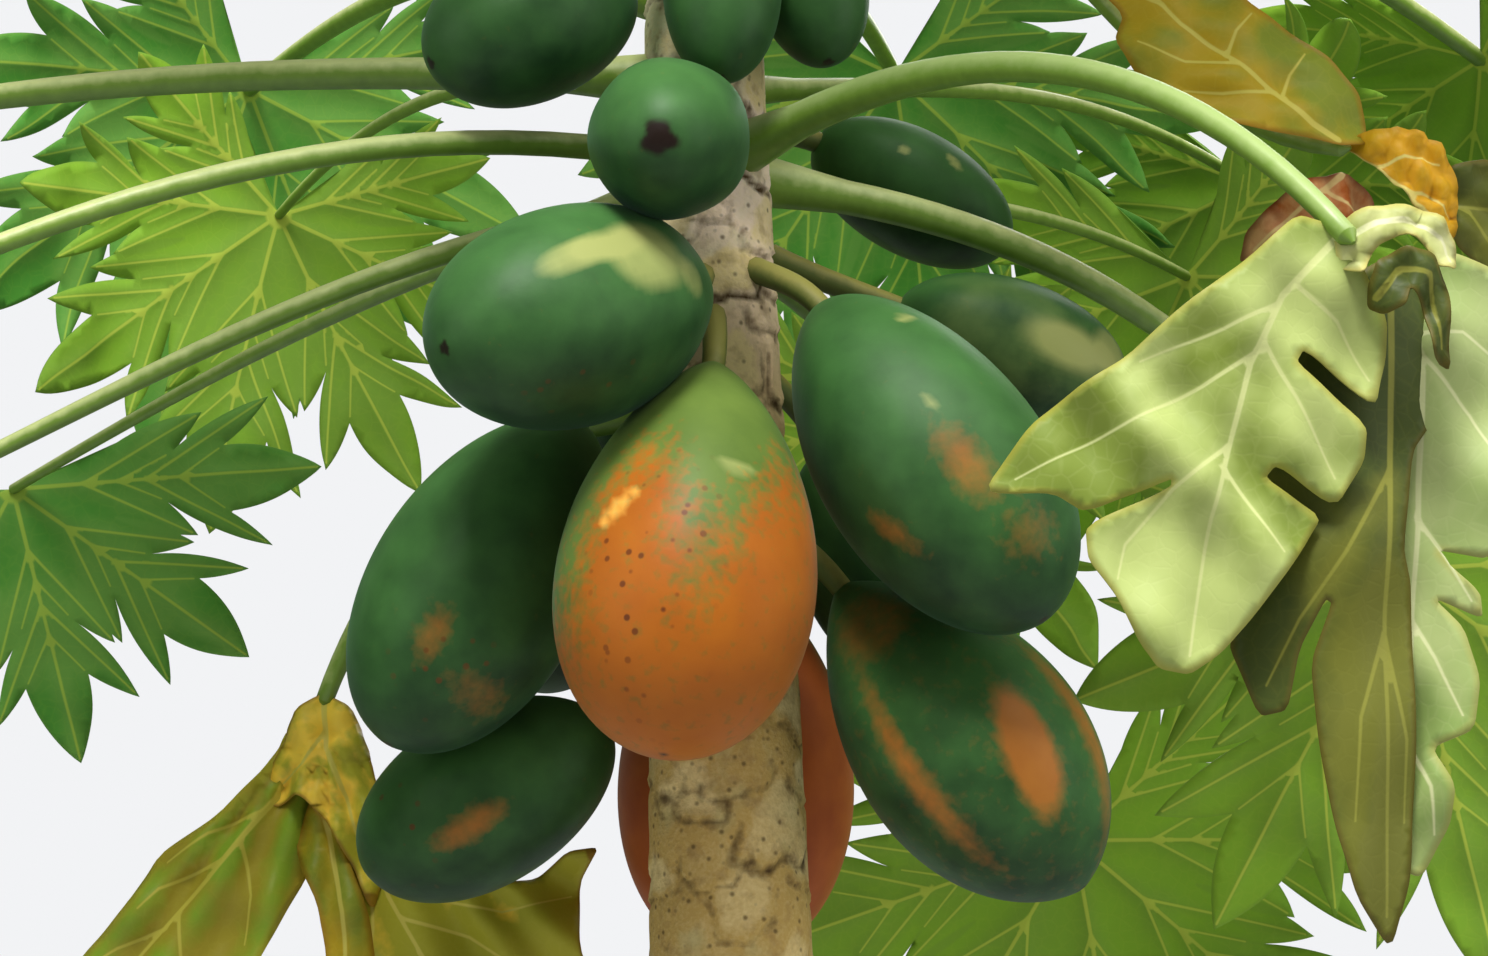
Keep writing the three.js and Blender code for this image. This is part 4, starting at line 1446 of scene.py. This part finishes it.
@dataclass
class FruitBody:
    """A fruit modelled ring by ring from its stem end to its tip, with its stalk.

    The scar's raggedness is a share of its radius, in three and in five waves round the tip.
    """

    fruit: Fruit
    seed: int
    sides: int = 20
    rings: int = 16
    stalk_radius: float = 0.0065
    stalk_foot: float = 1.2
    stalk_dip: float = 25.0
    stalk_sunk: float = 3 * MM
    stalk_inside: float = 6 * MM
    stem_dimple: float = 4 * MM
    ridges: int = 5
    ridge_depth: float = 0.018
    ridge_end: float = 0.3
    scar_ragged: tuple[float, float] = (0.13, 0.10)
    scar_edge: tuple[float, float] = (1.15, 0.75)
    patch_ends: tuple[float, float] = (0.05, 0.95)

    def basis(self) -> Matrix:
        """Finds the turn that takes +Z along the fruit and +X to the side that the viewer sees.

        Returns:
            The turn.
        """
        along = heading(self.fruit.point[0], -self.fruit.point[1])
        front = Vector((0, -1, 0))
        front = (front - along * front.dot(along)).normalized()
        side = front.cross(along)
        return Matrix((front, -side, along)).transposed()

    def stem_end(self) -> Vector:
        """Finds where the fruit's stalk meets its body.

        Returns:
            The place of the stem end.
        """
        fruit = self.fruit
        stem = STEM.axis(fruit.attach) + heading(fruit.azimuth) * fruit.out
        stem.z -= fruit.drop
        return stem

    def radius(self, share: float) -> float:
        """Finds the body's radius.

        Args:
            share: Place along the fruit, as a share of its length.

        Returns:
            The radius there.
        """
        belly, late = self.fruit.belly, self.fruit.bluntness
        early = late * belly / (1 - belly)
        return self.fruit.width / 2 * (share / belly) ** early * ((1 - share) / (1 - belly)) ** late

    def body(self) -> Piece:
        """Extrudes the body ring by ring along +Z and smooths it.

        Returns:
            The body's object, with its stem end at the origin.
        """
        fruit = self.fruit
        shares = [(1 - math.cos(math.pi * (ring + 0.5) / self.rings)) / 2 for ring in range(self.rings)]
        deselect()
        first = self.radius(shares[0])
        bpy.ops.mesh.primitive_circle_add(
            vertices=self.sides, radius=first, fill_type="NGON", location=(0, 0, shares[0] * fruit.length)
        )
        piece = bpy.context.object
        piece.name = f"papaya_{fruit.name}"
        bpy.ops.object.mode_set(mode="EDIT")
        bpy.ops.mesh.select_all(action="SELECT")
        bpy.ops.mesh.poke()
        bpy.ops.mesh.select_all(action="DESELECT")
        bpy.ops.object.mode_set(mode="OBJECT")
        corners = [number for edge in piece.data.edges for number in edge.vertices]
        centre = max(piece.data.vertices, key=lambda vertex: corners.count(vertex.index))
        centre.co.z = self.stem_dimple
        for edge in piece.data.edges:
            edge.select = centre.index not in edge.vertices
        bpy.ops.object.mode_set(mode="EDIT")
        bpy.ops.mesh.select_mode(type="EDGE")
        for low, high in zip(shares, shares[1:]):
            rise = (high - low) * fruit.length
            grow = self.radius(high) / self.radius(low)
            bpy.ops.mesh.extrude_region_move(TRANSFORM_OT_translate={"value": (0, 0, rise)})
            bpy.ops.transform.resize(value=(grow, grow, 1))
        bpy.ops.mesh.extrude_region_move(
            TRANSFORM_OT_translate={"value": (0, 0, (1 - shares[-1]) * fruit.length)}
        )
        bpy.ops.mesh.merge(type="CENTER")
        bpy.ops.mesh.select_all(action="SELECT")
        bpy.ops.mesh.normals_make_consistent(inside=False)
        bpy.ops.object.mode_set(mode="OBJECT")
        smoothing = piece.modifiers.new("smoothing", "SUBSURF")
        smoothing.levels = smoothing.render_levels = 2
        apply_modifiers(piece)
        piece.data.shade_smooth()
        return piece

    def marks(self, share: np.ndarray, angle: np.ndarray) -> dict[Mark, np.ndarray]:
        """Adds up the patches of the skin, which slant across its length and girth.

        Args:
            share: Place of each point along the fruit, as a share of its length.
            angle: Its angle round the fruit, in radians.

        Returns:
            Strength of each kind of mark at each point.
        """
        fruit = self.fruit
        marks = {mark: np.zeros(len(share)) for mark in Mark}
        marks[Mark.RIPE] += fruit.ripeness
        girth = np.sin(np.pi * np.clip(share, *self.patch_ends)) ** 0.5
        for patch in fruit.patches:
            off = (np.degrees(angle) - patch.around + 180) % 360 - 180
            x = np.radians(off) * fruit.width / 2 * girth
            y = (share - patch.share) * fruit.length
            slant = math.radians(patch.slant)
            wide = (x * math.cos(slant) + y * math.sin(slant)) / patch.width
            tall = (y * math.cos(slant) - x * math.sin(slant)) / patch.length
            marks[patch.mark] += patch.strength * smooth(1.0, 1 - patch.edge, np.hypot(wide, tall))
        return marks

    def build(self, skins: tuple[Material, Material]) -> Piece:
        """Builds the fruit with its stalk in its place on the tree.

        Args:
            skins: Materials of the fruit and of its stalk.

        Returns:
            The fruit's object.
        """
        piece = self.body()
        fruit = self.fruit
        places = np.zeros(len(piece.data.vertices) * 3)
        piece.data.vertices.foreach_get("co", places)
        places = places.reshape(-1, 3)
        share = places[:, 2] / fruit.length
        angle = np.arctan2(-places[:, 1], places[:, 0])
        ridge = self.ridge_depth * np.cos(self.ridges * angle + self.seed)
        places[:, :2] *= (1 + ridge * smooth(1.0, self.ridge_end, share))[:, None]
        marks = self.marks(share, angle)
        tip_gap = np.linalg.norm(places - (0, 0, fruit.length), axis=1)
        three, five = self.scar_ragged
        ragged = 1 + three * np.sin(3 * angle + self.seed) + five * np.sin(5 * angle)
        scar = smooth(*self.scar_edge, tip_gap / (fruit.scar * ragged))
        turn = np.array(self.basis())
        places = places @ turn.T + np.array(self.stem_end())
        piece.data.vertices.foreach_set("co", places.ravel())
        for mark, values in marks.items():
            paint(piece, mark.value, values)
        paint(piece, "scar", scar)
        piece.data.materials.append(skins[0])
        piece.data.update()
        # How far each face looks up, which the skin turns into painted top light and shade.
        paint_sky(piece)
        stalk = self.stalk()
        stalk.data.materials.append(skins[1])
        return join(piece.name, [piece, stalk])

    def stalk(self) -> Piece:
        """Builds the fruit's short stalk from the trunk to the stem end.

        Returns:
            The stalk's object.
        """
        fruit = self.fruit
        reach = STEM.radius(fruit.attach) - self.stalk_sunk
        start = STEM.axis(fruit.attach) + heading(fruit.azimuth) * reach
        along = heading(fruit.point[0], -fruit.point[1])
        end = self.stem_end() + along * self.stalk_inside
        pull = (end - start).length / 3
        away = heading(fruit.azimuth, -self.stalk_dip)
        knots = (
            (start, start - away * pull, start + away * pull, self.stalk_radius * self.stalk_foot),
            (end, end - along * pull, end + along * pull, self.stalk_radius),
        )
        return bent_stalk(f"stalk_{fruit.name}", knots, bevel=3, steps=10)


@dataclass
class Trunk:
    """The trunk's bark: a fine skin round the stem with a spiral of leaf scars.

    A scar is a worn face with a raised rim and a groove along its lower edge, which is darkened as
    painted shadow with a dark crack. Heights and depths are in millimetres and other sizes are shares
    of the scar. Ranges are the least and the most of a random share, fades are where a value starts
    and ends, scar_half is half a scar's width and height, and old scars below the weathered stretch
    are worn less pale.
    """

    around: int = 128
    fine_step: float = 3 * MM
    coarse_step: float = 6 * MM
    fine_from: float = 1.65
    scar_gap: float = 7 * MM
    scar_turn: float = 137.5
    turn_wander: float = 9.0
    scar_half: tuple[float, float] = (0.023, 0.021)
    scar_room: float = 50 * MM
    wide_range: tuple[float, float] = (0.7, 1.2)
    tall_range: tuple[float, float] = (0.65, 1.2)
    peak_range: tuple[float, float] = (0.1, 0.6)
    skew_spread: float = 0.25
    upper_squeeze: float = 1.2
    raggedness: tuple[float, float] = (0.09, 0.06)
    face_edge: float = 0.72
    rim_width: float = 0.10
    rim_fade: tuple[float, float] = (0.4, -0.5)
    groove_at: float = 1.15
    groove_width: float = 0.17
    groove_fade: tuple[float, float] = (0.9, -0.4)
    rim_height: float = 1.5
    groove_depth: float = 1.7
    face_depth: float = 0.6
    foot_strength: float = 0.4
    crack_and_shadow_range: tuple[float, float] = (0.5, 1.0)
    worn_range: tuple[float, float] = (0.1, 1.0)
    worn_power: float = 1.5
    old_scar: float = 0.30
    weathered: tuple[float, float] = (1.1, 1.8)
    seed: int = 5

    def heights(self) -> np.ndarray:
        """Finds the heights of the rings, which are closer in the fruiting part.

        Returns:
            The heights from the ground up.
        """
        low = np.arange(0, self.fine_from, self.coarse_step)
        high = np.arange(self.fine_from, STEM.height, self.fine_step)
        return np.concatenate([low, high, [STEM.height]])

    def scars(self, heights: np.ndarray, angles: np.ndarray) -> tuple[np.ndarray, ...]:
        """Lays the leaf scars in a spiral up the trunk, each over the older ones.

        Args:
            heights: Heights of the rings.
            angles: Angles round a ring.

        Returns:
            Paleness, darkness with painted shadow in the grooves, and relief at each place, one row for
            each ring.
        """
        radii = np.array([STEM.radius(z) for z in heights])
        scar = np.zeros((len(heights), self.around))
        crack_and_painted_shadow = np.zeros_like(scar)
        relief = np.zeros_like(scar)
        random = np.random.default_rng(self.seed)
        for number in range(int(STEM.height / self.scar_gap)):
            z = number * self.scar_gap + random.normal(0, self.scar_gap)
            middle = math.radians(number * self.scar_turn + random.normal(0, self.turn_wander))
            strength = self.foot_strength + (1 - self.foot_strength) * z / STEM.height
            wide = self.scar_half[0] * random.uniform(*self.wide_range)
            tall = self.scar_half[1] * random.uniform(*self.tall_range)
            peak, skew = random.uniform(*self.peak_range), random.normal(0, self.skew_spread)
            row = np.abs(heights - z) < self.scar_room
            x = (angles[None, :] - middle + np.pi) % (2 * np.pi) - np.pi
            x = x * radii[row][:, None] / wide
            y = (heights[row][:, None] - z) / tall + peak * np.abs(x) + skew * x
            turn = np.arctan2(y, x)
            ragged = self.raggedness[0] * np.sin(3 * turn + number)
            ragged += self.raggedness[1] * np.sin(7 * turn + 2 * number)
            far = np.hypot(x, np.where(y < 0, 1.0, self.upper_squeeze) * y) + ragged
            face = smooth(1.0, self.face_edge, far)
            rim = np.exp(-(((far - 1.0) / self.rim_width) ** 2)) * smooth(*self.rim_fade, y)
            groove = np.exp(-(((far - self.groove_at) / self.groove_width) ** 2))
            groove *= smooth(*self.groove_fade, y + skew)
            weathered = self.old_scar + (1 - self.old_scar) * smooth(*self.weathered, z)
            pale = weathered * random.uniform(*self.worn_range) ** self.worn_power
            scar[row] = scar[row] * (1 - face) + face * pale
            # Painted shadow in the groove under the scar's rim, with its dark crack.
            dark = groove * strength * random.uniform(*self.crack_and_shadow_range)
            crack_and_painted_shadow[row] = np.maximum(crack_and_painted_shadow[row] * (1 - face), dark)
            raised = self.rim_height * rim - self.groove_depth * groove - self.face_depth * face
            relief[row] = relief[row] * (1 - face) + raised * MM * strength
        return scar, crack_and_painted_shadow, relief

    def build(self) -> Piece:
        """Builds the bark with its relief.

        Returns:
            The bark's object.
        """
        heights = self.heights()
        angles = 2 * np.pi * np.arange(self.around) / self.around
        scar, crack_and_painted_shadow, relief = self.scars(heights, angles)
        points = []
        for z, raised in zip(heights, relief):
            centre = STEM.axis(z)
            reach = STEM.radius(z) + raised
            east, north = centre.x + reach * np.cos(angles), centre.y + reach * np.sin(angles)
            points.append(np.column_stack([east, north, np.full(self.around, z)]))
        places = np.vstack(points)
        faces = []
        for row in range(len(heights) - 1):
            here = row * self.around
            above = here + self.around
            for side in range(self.around):
                after = (side + 1) % self.around
                faces.append((here + side, here + after, above + after, above + side))
        faces.append(tuple(reversed(range(self.around))))
        last = (len(heights) - 1) * self.around
        faces.append(tuple(range(last, last + self.around)))
        piece = mesh_piece("bark", places, faces)
        paint(piece, "scar", scar.ravel())
        paint(piece, "crack_and_painted_shadow", crack_and_painted_shadow.ravel())
        piece.data.materials.append(Bark().material())
        return piece


@dataclass
class YoungCrown:
    """The young leaves that stand over the tip of the trunk.

    A pair is a value of the lowest leaf, and what is added to it up to the highest one.
    """

    count: int = 13
    first_turn: float = 20.0
    turn: float = 137.5
    rise: tuple[float, float] = (40.0, 46.0)
    length: tuple[float, float] = (0.20, 0.16)
    base: tuple[float, float] = (2.395, 0.03)
    radius: tuple[float, float] = (0.140, -0.05)
    point: tuple[float, float] = (30.0, -90.0)
    face: tuple[float, float] = (60.0, 20.0)
    stem_reach: float = 0.03
    arch: float = 30.0
    bend: float = 40.0
    fold: float = 0.5
    stalk_radii: tuple[float, float] = (0.006, 0.0035)

    def leaves(self) -> list[Leaf]:
        """Places the young leaves, each higher and smaller than the one before.

        Returns:
            The leaves, the lowest one first.
        """
        made = []
        for number in range(self.count):
            share = number / (self.count - 1)
            rise, length, base, radius, point, face = (
                low + more * share
                for low, more in (self.rise, self.length, self.base, self.radius, self.point, self.face)
            )
            azimuth = (self.first_turn + number * self.turn) % 360
            reach = length * math.cos(math.radians(rise)) + self.stem_reach
            drop = -length * math.sin(math.radians(rise))
            made.append(
                Leaf(
                    f"young_{number}", azimuth, base, reach, drop, rise, self.arch - rise, radius,
                    (azimuth, point), (azimuth, face), bend=self.bend, tone=Tone.YOUNG, slot="leaf_young",
                )
            )
        return made


@dataclass(frozen=True)
class Lamp:
    """A square soft lamp: where it stands, the length of its side and its power in watts."""

    name: str
    place: tuple[float, float, float]
    size: float
    power: float

    def hang(self, target: Vector) -> None:
        """Adds the lamp to the scene.

        Args:
            target: Where it points.
        """
        data = bpy.data.lights.new(self.name, "AREA")
        data.size = self.size
        data.energy = self.power
        lamp = bpy.data.objects.new(self.name, data)
        lamp.location = self.place
        lamp.rotation_euler = (target - lamp.location).to_track_quat("-Z", "Y").to_euler()
        bpy.context.scene.collection.objects.link(lamp)


LAMPS = (
    Lamp("key", (-0.25, -2.0, 4.5), 0.9, 115),
    Lamp("sky", (1.2, -1.6, 4.6), 2.0, 50),
    Lamp("side_fill", (-3.2, -2.2, 2.6), 2.5, 26),
    Lamp("right_fill", (3.2, -1.6, 2.4), 2.0, 26),
    Lamp("back_light", (0.6, 2.8, 3.6), 2.0, 45),
)


@dataclass
class Studio:
    """Pale floor, soft lights and the camera that faces the fruit."""

    floor_size: float = 14.0
    floor_colour: str = "#dcdcda"
    floor_drop: float = 1 * MM
    lit_place: tuple[float, float, float] = (-0.03, 0, 2.05)
    camera_place: tuple[float, float, float] = (-0.031, -1.9754, 1.6371)
    camera_pitch: float = 9.0
    lens: float = 83.4
    sensor: float = 36.0
    background: str = "#f2f3f5"
    fill: float = 0.20

    def build(self) -> None:
        """Sets the floor, the lights, the background and the camera."""
        self.floor()
        for lamp in LAMPS:
            lamp.hang(Vector(self.lit_place))
        self.world()
        data = bpy.data.cameras.new("camera")
        data.lens = self.lens
        data.sensor_width = self.sensor
        camera = bpy.data.objects.new("camera", data)
        camera.location = self.camera_place
        camera.rotation_euler = (math.radians(90 + self.camera_pitch), 0, 0)
        bpy.context.scene.collection.objects.link(camera)
        bpy.context.scene.camera = camera
        bpy.context.scene.view_settings.view_transform = "Standard"

    def floor(self) -> None:
        """Lays the floor, just under the cut of the trunk."""
        deselect()
        bpy.ops.mesh.primitive_plane_add(size=self.floor_size, location=(0, 0, -self.floor_drop))
        floor = bpy.context.object
        floor.name = "floor"
        # Matt floor paint: pale and dull, it takes soft shadows and shows no reflections.
        material, tree, _, _ = new_material("matt_studio_floor")
        settings = {"Base Color": linear(self.floor_colour), "Roughness": 0.9}
        skin = add_node(tree, "BsdfPrincipled", settings, {})
        add_node(tree, "OutputMaterial", {}, {"Surface": skin})
        floor.data.materials.append(material)

    def world(self) -> None:
        """Sets a pale background that lights the tree less than it shows."""
        world = bpy.data.worlds.new("pale_studio")
        world.use_nodes = True
        tree = world.node_tree
        tree.nodes.clear()
        seen, light = (
            add_node(tree, "Background", {"Color": linear(self.background), "Strength": strength}, {})
            for strength in (1.0, self.fill)
        )
        camera = add_node(tree, "LightPath", {}, {}, "Is Camera Ray")
        both = add_node(tree, "MixShader", {}, {0: camera, 1: light, 2: seen})
        add_node(tree, "OutputWorld", {}, {"Surface": both})
        bpy.context.scene.world = world


# First random seeds, each with one more for every further leaf or lobe of its kind.
LEAF_SEED = 100
YOUNG_SEED = 300
LOBE_SEEDS = 1000


def main() -> None:
    """Builds the tree part by part and reports each piece."""
    logging.basicConfig(level=logging.INFO, format="%(message)s")
    Studio().build()
    hand_over(Trunk().build(), "bark", "trunk")
    # Every stalk skin paints a pale highlight along the top and shade underneath.
    stalk_skin = StalkSkin().material()
    green_stalk_skin = StalkSkin("green_leaf_stalk", pale="#a6bc72").material()
    fruit_stalk_skin = StalkSkin(
        "corky_fruit_stalk", under="#3c4a1e", plain="#5c6a2c", pale="#9a9448", roughness=0.6
    ).material()
    skins = {tone: (tone.value.material(), tone.value.underside()) for tone in Tone}
    for number, leaf in enumerate(LEAVES):
        stalk = LeafStalk(leaf).build()
        stalk.data.materials.append(green_stalk_skin if leaf.tone == Tone.WILTING else stalk_skin)
        hand_over(stalk, "stalk", f"petiole_{leaf.name}")
        seed = LEAF_SEED + number
        if leaf.name in LIMP_SHEETS:
            sheets = [
                LimpBlade(leaf, seed + LOBE_SEEDS * order, sheet=sheet).build(skins[sheet.tone])
                for order, sheet in enumerate(LIMP_SHEETS[leaf.name])
            ]
            blade = join(f"leaf_{leaf.name}", sheets)
        else:
            blade = Blade(leaf, seed).build(skins[leaf.tone])
        hand_over(blade, leaf.slot, f"blade_{leaf.name}")
    crown = YoungCrown()
    young_stalks = []
    young_blades = []
    for number, leaf in enumerate(crown.leaves()):
        young_stalks.append(LeafStalk(leaf, *crown.stalk_radii).build())
        blade = Blade(leaf, YOUNG_SEED + number, fold=crown.fold)
        young_blades.append(blade.build(skins[leaf.tone]))
    stalks = join("young_stalks", young_stalks)
    stalks.data.materials.append(stalk_skin)
    hand_over(stalks, "stalk")
    hand_over(join("young_blades", young_blades), "leaf_young", "young_leaves")
    fruit_skins = {ripeness: ripeness.value.material() for ripeness in Ripeness}
    for number, fruit in enumerate(FRUITS):
        body = FruitBody(fruit, number).build((fruit_skins[fruit.skin], fruit_stalk_skin))
        hand_over(body, fruit.slot, f"fruit_{fruit.name}")


if __name__ == "__main__":
    main()
